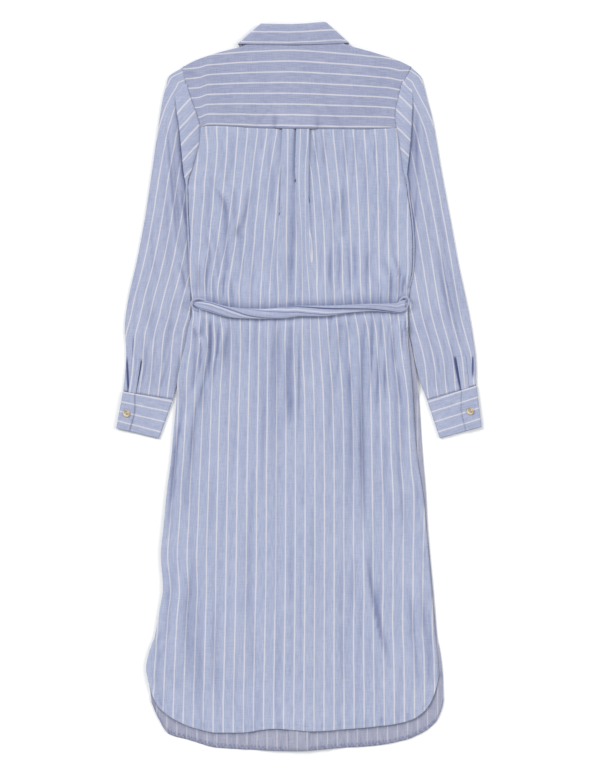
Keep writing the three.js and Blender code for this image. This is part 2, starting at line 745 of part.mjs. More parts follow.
// Belt: stations across the back on top of the panel, round the sides and under the fronts
const beltRun = table(['x', 'drop', 'halfWidth'], [
  [-172, 425.5, 9.5], [-150, 431, 10], [-130, 437, 10.5], [-97, 443.5, 10.8], [-60, 443, 12], [-20, 441, 13],
  [23, 438, 10.5], [68, 435.5, 8.8], [110, 433.5, 8.2], [145, 432.5, 8.8], [173.5, 430.5, 9.2],
]);
const beltDrop = curve(beltRun, 'x', 'drop');
const beltHalfWidth = curve(beltRun, 'x', 'halfWidth');
const beltSpan = { left: -173.4, right: 175, turn: 3 };
const beltBackCount = 22;
const beltFrontCount = 12;
const beltRows = 4;
const beltBed = 0.9;

// Stations round the belt: back run, right turn, front run, left turn
const beltRing = [];
for (let i = 0; i <= beltBackCount; i += 1) {
  beltRing.push({ part: 'back', x: mix(beltSpan.left, beltSpan.right, i / beltBackCount) });
}
beltRing.push({ part: 'turn', x: beltSpan.right, side: 1, high: 1 }, { part: 'turn', x: beltSpan.right, side: 1, high: 0 });
for (let i = 0; i <= beltFrontCount; i += 1) {
  beltRing.push({ part: 'front', x: mix(beltSpan.right, beltSpan.left, i / beltFrontCount) });
}
beltRing.push({ part: 'turn', x: beltSpan.left, side: -1, high: 0 }, { part: 'turn', x: beltSpan.left, side: -1, high: 1 });

// "skin" is 1 for the outer face of the belt and 0 for the inner one
function beltPoint(i, j, skin) {
  const { part, x, side, high } = beltRing[i];
  const across = (2 * j) / beltRows - 1;
  const onBack = part === 'back';
  const width = onBack ? beltHalfWidth(x) : beltFrontHalfWidth;
  const centre = mix(beltFrontDrop, beltDrop(x), part === 'front' ? 0 : 1);
  const drop = centre + across * width;
  const edge = Math.min(x - beltSpan.left, beltSpan.right - x);
  const puff = beltPuff * (1 - across * across) * smoothStep(edge, 0, 25) * skin;
  const bed = backMiddle(x, drop) + beltBed;
  if (onBack) return point(x, drop, bed + skin * beltThickness + puff);
  if (part === 'front') return point(x, drop, beltThickness * (1 - skin));
  const reach = beltSpan.turn - (1 - skin) * beltThickness;
  const low = mix(beltThickness, 0.5, skin);
  return point(x + side * reach, drop, high ? bed + skin * 0.6 : low);
}

function buildBelt() {
  add('belt', tube(beltRing.length, beltRows, (i, j) => beltPoint(i, j, 1), (i, j) => beltPoint(i, j, 0)));
}

// Belt ends: flat strips that hang from the knot under the fronts
const knotHalfWidth = 12;
const knotHeight = 1.2;

function buildKnot() {
  const knot = new THREE.CylinderGeometry(knotHalfWidth, knotHalfWidth, knotHeight, 12);
  knot.rotateX(Math.PI / 2);
  knot.translate(0, -beltFrontDrop, beltThickness + seamGap + knotHeight / 2 - 0.1);
  add('belt_knot', knot);
  const tails = table(['name', 'side', 'length', 'spread'], [
    ['belt_end_left', -1, 190, 16],
    ['belt_end_right', 1, 165, 18],
  ]);
  tails.forEach(({ name, side, length, spread }) => {
    const rows = 6;
    const middle = (i, j) => {
      const along = j / rows;
      const start = beltFrontDrop + beltFrontHalfWidth + seamGap;
      const x = side * (9 + spread * along) + mix(-7, 7, i / 2);
      return point(x, start + length * along, beltThickness / 2);
    };
    add(name, sheet(2, rows, middle, beltThickness));
  });
}

// Belt loops: narrow strips over the belt at the side seams
const loops = table(['name', 'x'], [['belt_loop_left', -163], ['belt_loop_right', 166]]);
const loopHalfWidth = 2.2;
const loopSpan = 17;
const loopArch = 3.6;

function buildLoops() {
  const rows = 8;
  loops.forEach(({ name, x: centre }) => {
    const middle = (i, j) => {
      const x = centre + mix(-loopHalfWidth, loopHalfWidth, i / 2);
      const t = (2 * j) / rows - 1;
      const drop = beltDrop(centre) + loopSpan * t;
      const arch = loopArch * (1 - t ** 6);
      const seat = backMiddle(x, drop) + backRelief(x, drop) + layerStep + seamGap;
      return point(x, drop, seat + arch);
    };
    add(name, sheet(2, rows, middle));
  });
}

// Round shirt button with a raised rim
function buttonGeometry() {
  const rim = 1.4;
  const profile = [
    [0, 0], [buttonRadius, 0], [buttonRadius, buttonHeight], [buttonRadius - rim, buttonHeight],
    [buttonRadius - rim - 0.5, buttonHeight - buttonDish], [0, buttonHeight - buttonDish],
  ];
  const button = new THREE.LatheGeometry(profile.map(([r, h]) => new THREE.Vector2(r, h)), 12);
  button.rotateX(Math.PI / 2);
  return button;
}

function buildButtons() {
  ['left', 'right'].forEach((side) => {
    const { x, y: drop } = cuffPlace(cuffs[side], side === 'left' ? 0.16 : 0.2, 0.55);
    const button = add(`cuff_button_${side}`, buttonGeometry(), buttonMaterial);
    button.position.set(x, -drop, cuffHigh + wall / 2 + seamGap);
  });
  for (let i = 0; i < frontButtonCount; i += 1) {
    const drop = firstButtonDrop + i * buttonSpacing + (i > 3 ? 12 : 0);
    const button = add(`front_button_${i + 1}`, buttonGeometry(), buttonMaterial);
    button.rotation.x = Math.PI;
    button.position.set(0, -drop, buttonHeight + 0.1);
  }
}

buildBackPanel();
buildYoke();
buildFront('front_left', -1, leftEdge);
buildFront('front_right', 1, frontRightEdge);
buildBand('band_outer', 0);
buildBand('band_inner', layerStep);
['left', 'right'].forEach((side) => {
  buildSleeve(side);
  buildPlacket(side);
  buildCuff(side);
});
buildCollar('collar', leafStations, 4);
buildCollar('collar_stand', standStations, 3);
buildBelt();
buildKnot();
buildLoops();
buildButtons();

// The origin is the middle of the underside
const box = new THREE.Box3().setFromObject(dress);
const middleOfBox = box.getCenter(new THREE.Vector3());
dress.children.forEach((mesh) => {
  mesh.position.x -= middleOfBox.x;
  mesh.position.y -= middleOfBox.y;
  mesh.position.z -= box.min.z;
});
dress.updateMatrixWorld(true);

export default dress;
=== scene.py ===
"""Shirt dress of striped shirting cotton, laid flat with its back upward.

Sizes are millimetres unless a name says otherwise. X runs across, Z runs up, and a drop runs down the
garment from the back neck line. A stripe's number counts from the centre back, one for each pitch.
"""

import logging
import math
from dataclasses import dataclass, field
from enum import Enum
from typing import Callable, Sequence

import bpy
import numpy as np
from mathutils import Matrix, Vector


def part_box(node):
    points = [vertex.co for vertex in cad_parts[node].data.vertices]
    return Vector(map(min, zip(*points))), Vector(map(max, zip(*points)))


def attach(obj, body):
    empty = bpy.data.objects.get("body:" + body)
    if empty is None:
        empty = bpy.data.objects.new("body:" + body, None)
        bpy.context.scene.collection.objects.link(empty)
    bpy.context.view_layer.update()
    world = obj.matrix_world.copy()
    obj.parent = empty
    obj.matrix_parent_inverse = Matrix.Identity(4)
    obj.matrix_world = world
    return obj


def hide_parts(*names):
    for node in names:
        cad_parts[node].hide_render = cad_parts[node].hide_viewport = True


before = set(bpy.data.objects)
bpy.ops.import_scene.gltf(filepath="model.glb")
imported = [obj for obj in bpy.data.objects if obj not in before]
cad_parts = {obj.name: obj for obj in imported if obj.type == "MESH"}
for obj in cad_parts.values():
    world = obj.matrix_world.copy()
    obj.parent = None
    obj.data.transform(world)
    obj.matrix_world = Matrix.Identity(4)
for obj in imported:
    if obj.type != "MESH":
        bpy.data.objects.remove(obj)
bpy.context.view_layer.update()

log = logging.getLogger("shirt_dress")

Array = np.ndarray
Colour = tuple[int, int, int]
Line = Callable[[Array], Array]

MILLIMETRE = 0.001
PITCH = 16.55
PIXEL = 1.65
CENTRE_COLUMN = 299.0
NECK_ROW = 45.5

# Layers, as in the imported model
WALL = 1.0
LAYER_STEP = 1.3
INNER_AIR = 1.0
PLEAT_RISE = 3.0
BAND_HALF_WIDTH = 17.0
BAND_LIFT = 2.9
BAND_FLAT = 40.0
BAND_SLOPE = 38.0
FRONT_NECK_DROP = 66.0
COLLAR_DEPTH = 94.0
COLLAR_HALF_WIDTH = 92.0
COLLAR_SLOPE = 48.0
BELT_FRONT_DROP = 430.0
BELT_LEFT = -173.6
BELT_RIGHT = 175.2
BELT_LIFT = 1.8
BELT_REACH = 16.0
BELT_SLOPE = 26.0
SLEEVE_LIFT = 3.0
SLEEVE_LIFT_FLAT = 9.0
SLEEVE_LIFT_SLOPE = 26.0
CLOTH = 0.5
SEAM_LAP = 0.9


def table(names: str, *rows: Sequence[float]) -> dict[str, Array]:
    """Names the columns of a short table.

    Args:
        names: Column names, separated by spaces.
        rows: The table's rows.

    Returns:
        One array for each column.
    """
    values = np.asarray(rows, float)
    return {name: values[:, i] for i, name in enumerate(names.split())}


class Curve:
    """Smooth line through the rows of a short table, level past both ends."""

    def __init__(self, xs: Sequence[float], ys: Sequence[float]) -> None:
        """Keeps the rows and works out a slope at each.

        Args:
            xs: Places along the line, rising.
            ys: Values there.
        """
        self.xs = np.asarray(xs, float)
        self.ys = np.asarray(ys, float)
        chords = np.diff(self.ys) / np.diff(self.xs)
        before = np.concatenate((chords[:1], chords))
        after = np.concatenate((chords, chords[-1:]))
        product = before * after
        total = np.where(before + after == 0, 1, before + after)
        self.slopes = np.where(product <= 0, 0, 2 * product / total)

    def __call__(self, place: Array | float) -> Array:
        """Reads the line.

        Args:
            place: Where to read it.

        Returns:
            The values there.
        """
        x = np.clip(np.asarray(place, float), self.xs[0], self.xs[-1])
        i = np.clip(np.searchsorted(self.xs, x, side="right") - 1, 0, len(self.xs) - 2)
        span = self.xs[i + 1] - self.xs[i]
        t = (x - self.xs[i]) / span
        s = 1 - t
        start = self.ys[i] * (1 + 2 * t) + self.slopes[i] * span * t
        end = self.ys[i + 1] * (1 + 2 * s) - self.slopes[i + 1] * span * s
        return start * s * s + end * t * t


def curve(rows: dict[str, Array], name: str) -> Curve:
    """Draws one column of a table over the table's first column."""
    return Curve(next(iter(rows.values())), rows[name])


def mix(a: Array | float, b: Array | float, t: Array | float) -> Array:
    """Goes from a to b as t goes from 0 to 1."""
    return a + (np.asarray(b) - a) * t


def smooth_step(value: Array | float, low: float, high: float) -> Array:
    """Eases from 0 at low to 1 at high."""
    t = np.clip((np.asarray(value, float) - low) / (high - low), 0, 1)
    return t * t * (3 - 2 * t)


def plateau(distance: Array | float, flat: float, slope: float) -> Array:
    """Gives 1 up to flat, easing to 0 over slope."""
    return 1 - smooth_step(np.abs(distance), flat, flat + slope)


def across(column: float | Array) -> Array:
    """Turns a column of the photograph into an X."""
    return (np.asarray(column, float) - CENTRE_COLUMN) * PIXEL


def down(row: float | Array) -> Array:
    """Turns a row of the photograph into a drop."""
    return (np.asarray(row, float) - NECK_ROW) * PIXEL


def column_of(x: Array) -> Array:
    """Turns an X into a column of the photograph."""
    return x / PIXEL + CENTRE_COLUMN


def row_of(drop: Array) -> Array:
    """Turns a drop into a row of the photograph."""
    return drop / PIXEL + NECK_ROW


def pair(first: Array, second: Array) -> Array:
    """Puts two grids together as one grid of places on the flat cloth."""
    return np.stack(np.broadcast_arrays(first, second), axis=-1)


def lengths_along(steps: Array) -> Array:
    """Adds up steps into lengths from the start."""
    return np.concatenate(([0], np.cumsum(steps)))


# Side edges of the body: the armhole down to the underarm at drop 228, then the side seam
BODY_EDGES = table(
    "drop left right front_right",
    (36, -191, 184.5, 184.5), (67, -185.5, 170, 170), (87, -179.8, 165.3, 165.3), (104, -173.6, 161.5, 161.5),
    (120, -168.2, 160.2, 160.2), (135, -165.2, 162.2, 162.2), (161, -166.3, 167, 167),
    (182, -171.3, 169.8, 169.8), (205, -177.9, 172.8, 172.8), (228, -183, 177.2, 177.2),
    (244, -182.3, 178.2, 178.2), (268, -181.8, 181.8, 181.8), (300, -180.4, 185.5, 185.5),
    (332, -178.8, 187, 187), (372, -177.5, 185.8, 185.8), (392, -176.6, 181.2, 181.2),
    (404, -175.5, 178.5, 178.5), (420, -174, 176.2, 176.2), (440, -174, 175.6, 175.6),
    (466, -179.5, 176, 178), (490, -185.5, 179, 184), (515, -193, 182, 189), (552, -200, 185.5, 195),
    (590, -202.5, 188, 198.5), (640, -207, 191, 201.5), (684, -211, 195.5, 204.6),
    (737, -217.8, 204, 209), (790, -222.8, 209.5, 212), (842, -227.5, 213.8, 216),
    (895, -224, 218.5, 221), (935, -231, 221.5, 224.4), (974, -237.6, 225, 227.7),
    (1001, -247, 228, 232.7), (1027, -252, 230, 236), (1054, -247, 231, 237.6), (1084, -243, 231, 238),
)
left_edge = curve(BODY_EDGES, "left")
right_edge = curve(BODY_EDGES, "right")
front_right_edge = curve(BODY_EDGES, "front_right")

yoke_top = curve(table(
    "x drop",
    (-191, 36), (-168, 24.5), (-129, 11.5), (-102, 5), (-66, -6), (-50, -2.5), (-25, -0.5), (0, 0),
    (22, -1), (38, -4), (52, -8), (86, 2.5), (120, 11.5), (160, 24.2), (184.5, 35.5),
), "drop")
yoke_seam = curve(table(
    "x drop", (-165, 135), (-149, 131.5), (-112, 132.8), (-61, 136), (0, 137.8), (112, 137.4), (162, 135)
), "drop")
front_neck = curve(table("x drop", (17, FRONT_NECK_DROP), (36, 54), (52, 28), (60, 2), (66, -9)), "drop")
back_hem = curve(table(
    "x drop",
    (-247, 1050), (-238, 1080), (-226, 1096), (-201, 1113.5), (-171, 1126), (-134, 1133.5), (-97, 1133.5),
    (-40, 1126.5), (25, 1130.5), (76, 1127.8), (130, 1123), (160, 1119), (186, 1112), (203, 1101.5),
    (217, 1084.5), (226, 1062), (231, 1038),
), "drop")
front_hem = curve(table(
    "x drop",
    (-243, 1084), (-234, 1106), (-214, 1136), (-181, 1145.5), (-133, 1158.5), (0, 1163.5), (63, 1159),
    (121, 1155.5), (170, 1147), (199, 1136), (224, 1117.5), (236, 1092), (238, 1081),
), "drop")
sleeve_tuck = curve(table(
    "drop share", (228, 0), (244, 1), (392, 1), (410, 0), (444, 0), (458, 1), (562, 1), (582, 0)
), "share")


def front_lift(x: Array, drop: Array) -> Array:
    """Finds how far the fronts rise over the surface that the dress lies on.

    Args:
        x: Places across.
        drop: Places down.

    Returns:
        Height of the fronts' underside at each place.
    """
    x, drop = np.broadcast_arrays(x, drop)
    band = BAND_LIFT * plateau(x, BAND_FLAT, BAND_SLOPE)
    near_collar = 1 - smooth_step(drop, COLLAR_DEPTH, COLLAR_DEPTH + COLLAR_SLOPE)
    collar = BAND_LIFT * plateau(x, COLLAR_HALF_WIDTH, COLLAR_SLOPE) * near_collar
    belt = BELT_LIFT * plateau(drop - BELT_FRONT_DROP, BELT_REACH, BELT_SLOPE)
    to_edge = np.maximum(np.minimum(x - left_edge(drop), front_right_edge(drop) - x), 0)
    sleeve = SLEEVE_LIFT * sleeve_tuck(drop) * plateau(to_edge, SLEEVE_LIFT_FLAT, SLEEVE_LIFT_SLOPE)
    return np.maximum.reduce([band, collar, belt, sleeve])


def front_middle(x: Array, drop: Array) -> Array:
    """Finds the height of the middle of the fronts' cloth."""
    return front_lift(x, drop) + WALL / 2


def back_middle(x: Array, drop: Array) -> Array:
    """Finds the height of the middle of the back's cloth before its folds.

    Args:
        x: Places across.
        drop: Places down.

    Returns:
        The height at each place.
    """
    to_edge = np.minimum(x - left_edge(drop), right_edge(drop) - x)
    air = INNER_AIR * smooth_step(to_edge, 0, 30)
    inner_band = LAYER_STEP * plateau(x, BAND_HALF_WIDTH + 4, 26) * smooth_step(drop, 30, 80)
    return front_middle(x, drop) + LAYER_STEP + air + inner_band


FOLD_NAMES = "x0 drop0 x1 drop1 x2 drop2 height left right"


@dataclass
class Folds:
    """Soft folds, each given along a line through three points.

    A fold's left and right say how far its two slopes reach, so that one may be steeper.
    """

    rows: dict[str, Array]
    lines: list[Curve] = field(default_factory=list)
    strength: float = 1.0
    narrowing: float = 1.0

    def __post_init__(self) -> None:
        """Draws each fold's line."""
        r = self.rows
        for i in range(len(r["height"])):
            drops = [r["drop0"][i], r["drop1"][i], r["drop2"][i]]
            self.lines.append(Curve(drops, [r["x0"][i], r["x1"][i], r["x2"][i]]))

    def height(self, x: Array, drop: Array) -> Array:
        """Sums the folds' heights.

        Args:
            x: Places across.
            drop: Places down.

        Returns:
            The height added at each place.
        """
        r = self.rows
        total = np.zeros(np.broadcast(x, drop).shape)
        for i, line in enumerate(self.lines):
            along = np.clip((drop - r["drop0"][i]) / (r["drop2"][i] - r["drop0"][i]), 0, 1)
            aside = x - line(drop)
            reach = np.where(aside < 0, r["left"][i], r["right"][i]) * self.narrowing
            height = self.strength * r["height"][i]
            total += height * np.exp(-((aside / reach) ** 2)) * np.sin(np.pi * along) ** 0.8
        return total


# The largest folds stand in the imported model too
BACK_FOLDS = Folds(table(
    FOLD_NAMES,
    (-139, 210, -112, 270, -108, 410, 4.2, 9, 12), (-92, 225, -97, 275, -118, 330, 2.4, 10, 6),
    (46, 330, 45, 370, 48, 410, 3.2, 9, 5), (72, 315, 74, 360, 72, 410, 3.0, 6, 9),
    (66, 225, 67, 280, 64, 330, 2.0, 8, 5), (104, 320, 103, 365, 100, 410, 3.0, 10, 5),
    (150, 345, 158, 375, 162, 408, 3.4, 9, 5), (-152, 335, -158, 375, -160, 408, 3.0, 5, 9),
    (-156, 458, -158, 520, -172, 600, 4.2, 11, 5), (-126, 460, -130, 500, -134, 560, 3.2, 6, 10),
    (-51, 460, -52, 560, -54, 760, 3.2, 6, 12), (-3, 458, -3, 500, -4, 640, 3.6, 9, 3.5),
    (44, 458, 42, 560, 40, 700, 2.4, 12, 8), (96, 456, 97, 620, 99, 800, 4.6, 13, 6),
    (100, 820, 118, 940, 142, 1040, 3.6, 18, 9), (162, 458, 178, 560, 186, 700, 4.2, 10, 8),
    (-178, 560, -196, 700, -206, 800, 4.0, 9, 16), (-182, 830, -198, 960, -196, 1050, 4.4, 18, 12),
    (-100, 700, -104, 880, -98, 1060, 2.6, 20, 14), (10, 760, 14, 900, 20, 1070, 2.4, 20, 16),
), strength=1.0, narrowing=0.8)
BACK_CREASES = Folds(table(
    FOLD_NAMES,
    (-28, 180, -33, 240, -30, 300, 1.6, 9, 3), (-27, 290, -40, 340, -46, 412, 1.6, 6, 4),
    (-88, 230, -92, 262, -98, 300, 1.2, 4, 7), (-138, 228, -114, 262, -106, 320, 1.6, 7, 3),
    (66, 230, 66, 255, 64, 280, 0.9, 4, 4), (-150, 300, -140, 350, -136, 410, 1.5, 5, 6),
    (-176, 455, -158, 500, -162, 560, 1.6, 3, 8), (-136, 456, -137, 486, -138, 530, 1.4, 5, 3),
    (-50, 455, -51, 540, -52, 700, 1.0, 3, 7), (92, 520, 96, 640, 97, 760, 1.6, 8, 3),
    (104, 830, 118, 920, 138, 1010, 1.4, 8, 5), (-186, 600, -200, 700, -194, 780, 1.6, 4, 8),
    (-170, 560, -178, 620, -186, 700, 1.4, 9, 4), (130, 458, 134, 520, 140, 600, 1.2, 6, 5),
    (150, 560, 156, 700, 168, 840, 1.8, 12, 9), (-70, 780, -66, 900, -60, 1040, 1.8, 16, 12),
    (60, 860, 58, 960, 66, 1080, 1.6, 14, 12), (-146, 900, -150, 1000, -146, 1090, 1.6, 12, 9),
    (190, 880, 200, 980, 206, 1060, 2.0, 9, 8), (-120, 150, -118, 190, -128, 226, 0.9, 8, 7),
    (110, 150, 120, 200, 122, 280, 0.8, 10, 8), (-60, 160, -62, 220, -58, 290, 0.7, 9, 8),
    (-165, 445, -165, 470, -164, 500, 1.8, 4, 3), (-150, 442, -150, 485, -153, 530, 1.6, 4, 3),
    (-140, 450, -141, 500, -146, 560, 1.3, 4, 3), (-122, 453, -128, 492, -134, 530, 1.6, 3, 6),
    (-119, 370, -121, 400, -124, 428, 1.6, 3, 6), (-133, 380, -134, 405, -136, 424, 1.2, 3, 4),
    (-149, 380, -149, 404, -150, 422, 1.2, 4, 3), (180, 370, 176, 395, 171, 416, 1.8, 3, 4),
    (168, 380, 168, 400, 166, 418, 1.4, 3, 3), (170, 445, 173, 478, 178, 519, 2.2, 3, 4),
    (176, 441, 181, 477, 188, 505, 1.8, 3, 3), (163, 494, 168, 544, 175, 600, 1.2, 5, 4),
), strength=1.4, narrowing=0.7)
# On the side that lies down, away from the hem that shows
FRONT_CREASES = Folds(table(
    FOLD_NAMES,
    (-120, 160, -104, 250, -96, 380, 1.1, 9, 5), (-70, 130, -78, 210, -74, 300, 0.8, 6, 9),
    (-140, 455, -150, 560, -164, 720, 1.2, 10, 5), (-58, 460, -62, 560, -60, 700, 1.1, 4, 8),
    (-96, 462, -92, 640, -100, 860, 1.2, 12, 7), (-150, 800, -160, 930, -158, 1060, 1.2, 14, 9),
    (-50, 760, -56, 900, -60, 1040, 0.9, 9, 14), (-128, 380, -132, 405, -134, 424, 0.9, 3, 5),
    (112, 150, 106, 240, 92, 360, 1.0, 5, 9), (52, 200, 58, 280, 54, 390, 0.8, 8, 5),
    (130, 456, 142, 540, 150, 680, 1.2, 5, 10), (74, 458, 72, 600, 80, 760, 1.2, 8, 4),
    (40, 470, 42, 540, 40, 640, 0.9, 4, 6), (110, 700, 118, 860, 122, 1020, 1.2, 13, 8),
    (164, 620, 170, 760, 172, 900, 1.0, 6, 12), (98, 384, 101, 406, 102, 424, 0.8, 4, 3),
))

BELT_RUN = table(
    "x drop half_width",
    (-175, 426.0, 1.8), (-171.6, 426.7, 3.2), (-163, 428.5, 6.4), (-155, 430, 7.8), (-147, 431.6, 8.3),
    (-130, 436.6, 8.6), (-110, 441, 8.7), (-89, 442.5, 8.4), (-60, 443, 8.4), (-23, 441.2, 9.6),
    (2, 438.6, 8.8), (35, 438.6, 8.8), (53, 437.6, 8.2), (76, 435.4, 7.0), (97, 433.7, 6.4),
    (119, 432.6, 6.2), (142, 433, 7.0), (160, 433.6, 8.2), (169, 431, 10.4), (175, 429, 9.0), (179, 427, 6.0),
)
belt_line, belt_half_width = curve(BELT_RUN, "drop"), curve(BELT_RUN, "half_width")
LEFT_LOOP = ((209, 303.5, 1.2), (204.5, 300.2, 2.6), (199, 298.9, 4.0), (194.2, 299.8, 5.0),
             (191.6, 303.2, 5.6), (193, 307.5, 4.6), (198, 311, 1.4))
RIGHT_LOOP = ((398.5, 304, 1.4), (399.8, 300, 3.2), (403, 297.4, 4.6), (407, 297.6, 5.4), (408.6, 301.5, 5.6),
              (407.2, 306.5, 4.8), (404, 311.5, 1.4))
belt_twist = Curve((-174, -125, -76, -20, 53, 119, 176), (0, 0.3, 1.7, 2.6, 3.5, 4.43, 5.2))
GROOVES = (
    (0.5, 0.6, 0.1), (1.3, 0.2, 0.1), (2.3, 0.4, 0.1), (2.9, 0.25, 0.14), (4.0, 0.8, 0.13), (5.3, 0.4, 0.1),
)


def gathers(
    seed: int, count: int, low: float, high: float, start: float, lengths: tuple[float, float]
) -> Folds:
    """Lays small uneven gathers that run from a line, more of them towards the sides.

    Args:
        seed: Start of the number series, which keeps every run the same.
        count: How many gathers.
        low: Left end of their range.
        high: Right end of it.
        start: Drop of the line that they run from.
        lengths: Shortest and longest, negative where they run up.

    Returns:
        The gathers as folds.
    """
    series = np.random.default_rng(seed)
    rows = []
    for _ in range(count):
        aside = series.uniform(-1, 1)
        x = (low + high) / 2 + (high - low) / 2 * np.sign(aside) * abs(aside) ** 0.7
        length = series.uniform(*lengths)
        drift = series.uniform(-0.08, 0.08) * length
        drops = sorted([start - 14 * np.sign(length), start + length])
        ends = (x, x + drift) if length > 0 else (x + drift, x)
        height, wide, narrow = series.uniform(0.3, 1.0), series.uniform(3, 7), series.uniform(2.2, 4)
        sides = (wide, narrow) if series.random() < 0.5 else (narrow, wide)
        middle = (sum(ends) / 2 + series.uniform(-2, 2), sum(drops) / 2)
        rows.append((ends[0], drops[0], *middle, ends[1], drops[1], height, *sides))
    return Folds(table(FOLD_NAMES, *rows), strength=1.3, narrowing=0.85)


GATHERS = (
    gathers(11, 34, -168, 170, 430, (-110, -45)),
    gathers(12, 40, -170, 172, 446, (50, 170)),
    gathers(13, 12, -150, 150, 150, (40, 90)),
)


def ripple(x: Array, drop: Array, seed: int, length: float, stretch: float) -> Array:
    """Adds up a few slanted waves into a smooth uneven surface.

    Args:
        x: Places across.
        drop: Places down.
        seed: Start of the number series.
        length: Typical wave length across.
        stretch: How many times longer the waves are down the cloth.

    Returns:
        Values that mostly lie between -1 and 1.
    """
    series = np.random.default_rng(seed)
    total = np.zeros(np.broadcast(x, drop).shape)
    waves = 7
    for _ in range(waves):
        span = length * series.uniform(0.6, 1.7)
        turn = series.uniform(-1, 1)
        phase = series.uniform(0, 2 * np.pi)
        total += np.sin(2 * np.pi * (x / span + turn * drop / (span * stretch)) + phase)
    return total / math.sqrt(waves * 2)


def pucker(to_edge: Array, along: Array, depth: float, length: float) -> Array:
    """Ripples a narrow sewn hem.

    Args:
        to_edge: Distance from the edge.
        along: Distance along it.
        depth: Height of the ripples.
        length: Their typical length.

    Returns:
        The height to add.
    """
    wave = 0.6 * np.sin(2 * np.pi * along / length) + 0.4 * np.sin(2 * np.pi * along / (length * 1.73) + 1.1)
    sewn = np.exp(-(((to_edge - 8) / 7) ** 2))
    ridge = np.exp(-(((to_edge - 3.5) / 3.2) ** 2)) - 0.8 * np.exp(-(((to_edge - 8) / 1.6) ** 2))
    return depth * (sewn * (wave + 0.6) + 0.7 * ridge)


class Side(Enum):
    """The two sides as they lie in the photograph."""

    LEFT = "left"
    RIGHT = "right"

    @property
    def sign(self) -> int:
        """Gives -1 for the left and 1 for the right."""
        return -1 if self is Side.LEFT else 1


@dataclass(frozen=True)
class Seat:
    """Where the design's millimetres lie in the frame, in millimetres."""

    x: float
    y: float

    def place(self, points: Array) -> Array:
        """Turns rows of X, drop and Z into metres in the frame.

        Args:
            points: X, drop and Z of each point.

        Returns:
            One row of metres for each point.
        """
        placed = np.array(points, float).reshape(-1, 3)
        placed[:, 0] += self.x
        placed[:, 1] = self.y - placed[:, 1]
        return placed * MILLIMETRE


def find_seat() -> Seat:
    """Reads the seat from the first front button, which the design sets on the centre line.

    Returns:
        The seat.
    """
    first_button_drop = 92.0
    low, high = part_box("front_button_1")
    return Seat((low[0] + high[0]) / 2 / MILLIMETRE, (low[1] + high[1]) / 2 / MILLIMETRE + first_button_drop)


SEAT = find_seat()


def stack(x: Array, drop: Array, z: Array) -> Array:
    """Puts three grids together as one grid of points."""
    x, drop, z = np.broadcast_arrays(x, drop, z)
    return np.stack((x, drop, z), axis=-1)


def spread(points: Array, first: Array | float, last: Array | float) -> Array:
    """Shares out stripe numbers along each row by length of cloth, folds counted.

    Args:
        points: Grid of points, rows by columns.
        first: Number at each row's first point.
        last: Number at its last point.

    Returns:
        The number at every point.
    """
    steps = np.linalg.norm(np.diff(points, axis=1), axis=2)
    lengths = np.concatenate((np.zeros((len(points), 1)), np.cumsum(steps, axis=1)), axis=1)
    share = lengths / lengths[:, -1:]
    start = np.broadcast_to(np.asarray(first, float).reshape(-1, 1), share.shape)
    end = np.broadcast_to(np.asarray(last, float).reshape(-1, 1), share.shape)
    return start + (end - start) * share


def make_object(name: str, points: list, faces: list) -> bpy.types.Object:
    """Makes a smooth shaded object.

    Args:
        name: Name of the piece.
        points: Each point, in metres.
        faces: Point numbers of each face.

    Returns:
        The new object.
    """
    mesh = bpy.data.meshes.new(name)
    mesh.from_pydata(points, [], faces)
    mesh.polygons.foreach_set("use_smooth", np.ones(len(mesh.polygons), bool))
    mesh.update()
    piece = bpy.data.objects.new(name, mesh)
    bpy.context.scene.collection.objects.link(piece)
    return piece


def lay_out(piece: bpy.types.Object, flat: Array) -> None:
    """Keeps each point's place on the flat cloth for the piece's material.

    Args:
        piece: The piece.
        flat: Place of each point on the flat cloth, in millimetres.
    """
    mesh = piece.data
    corners = np.zeros(len(mesh.loops), np.int32)
    mesh.loops.foreach_get("vertex_index", corners)
    layer = mesh.uv_layers.new(name="cloth")
    places = (np.asarray(flat).reshape(-1, 2) * MILLIMETRE)[corners]
    layer.data.foreach_set("uv", places.astype(np.float32).ravel())


def grid_shell(name: str, grid: Array, flat: Array, faces: Array) -> bpy.types.Object:
    """Makes a closed skin over a grid of points that already goes all round.

    Args:
        name: Name of the piece.
        grid: Grid of X, drop and Z.
        flat: Grid of places on the flat cloth.
        faces: Grid of the four corners' point numbers.

    Returns:
        The new object.
    """
    piece = make_object(name, SEAT.place(grid).tolist(), faces.reshape(-1, 4).tolist())
    lay_out(piece, flat)
    return piece


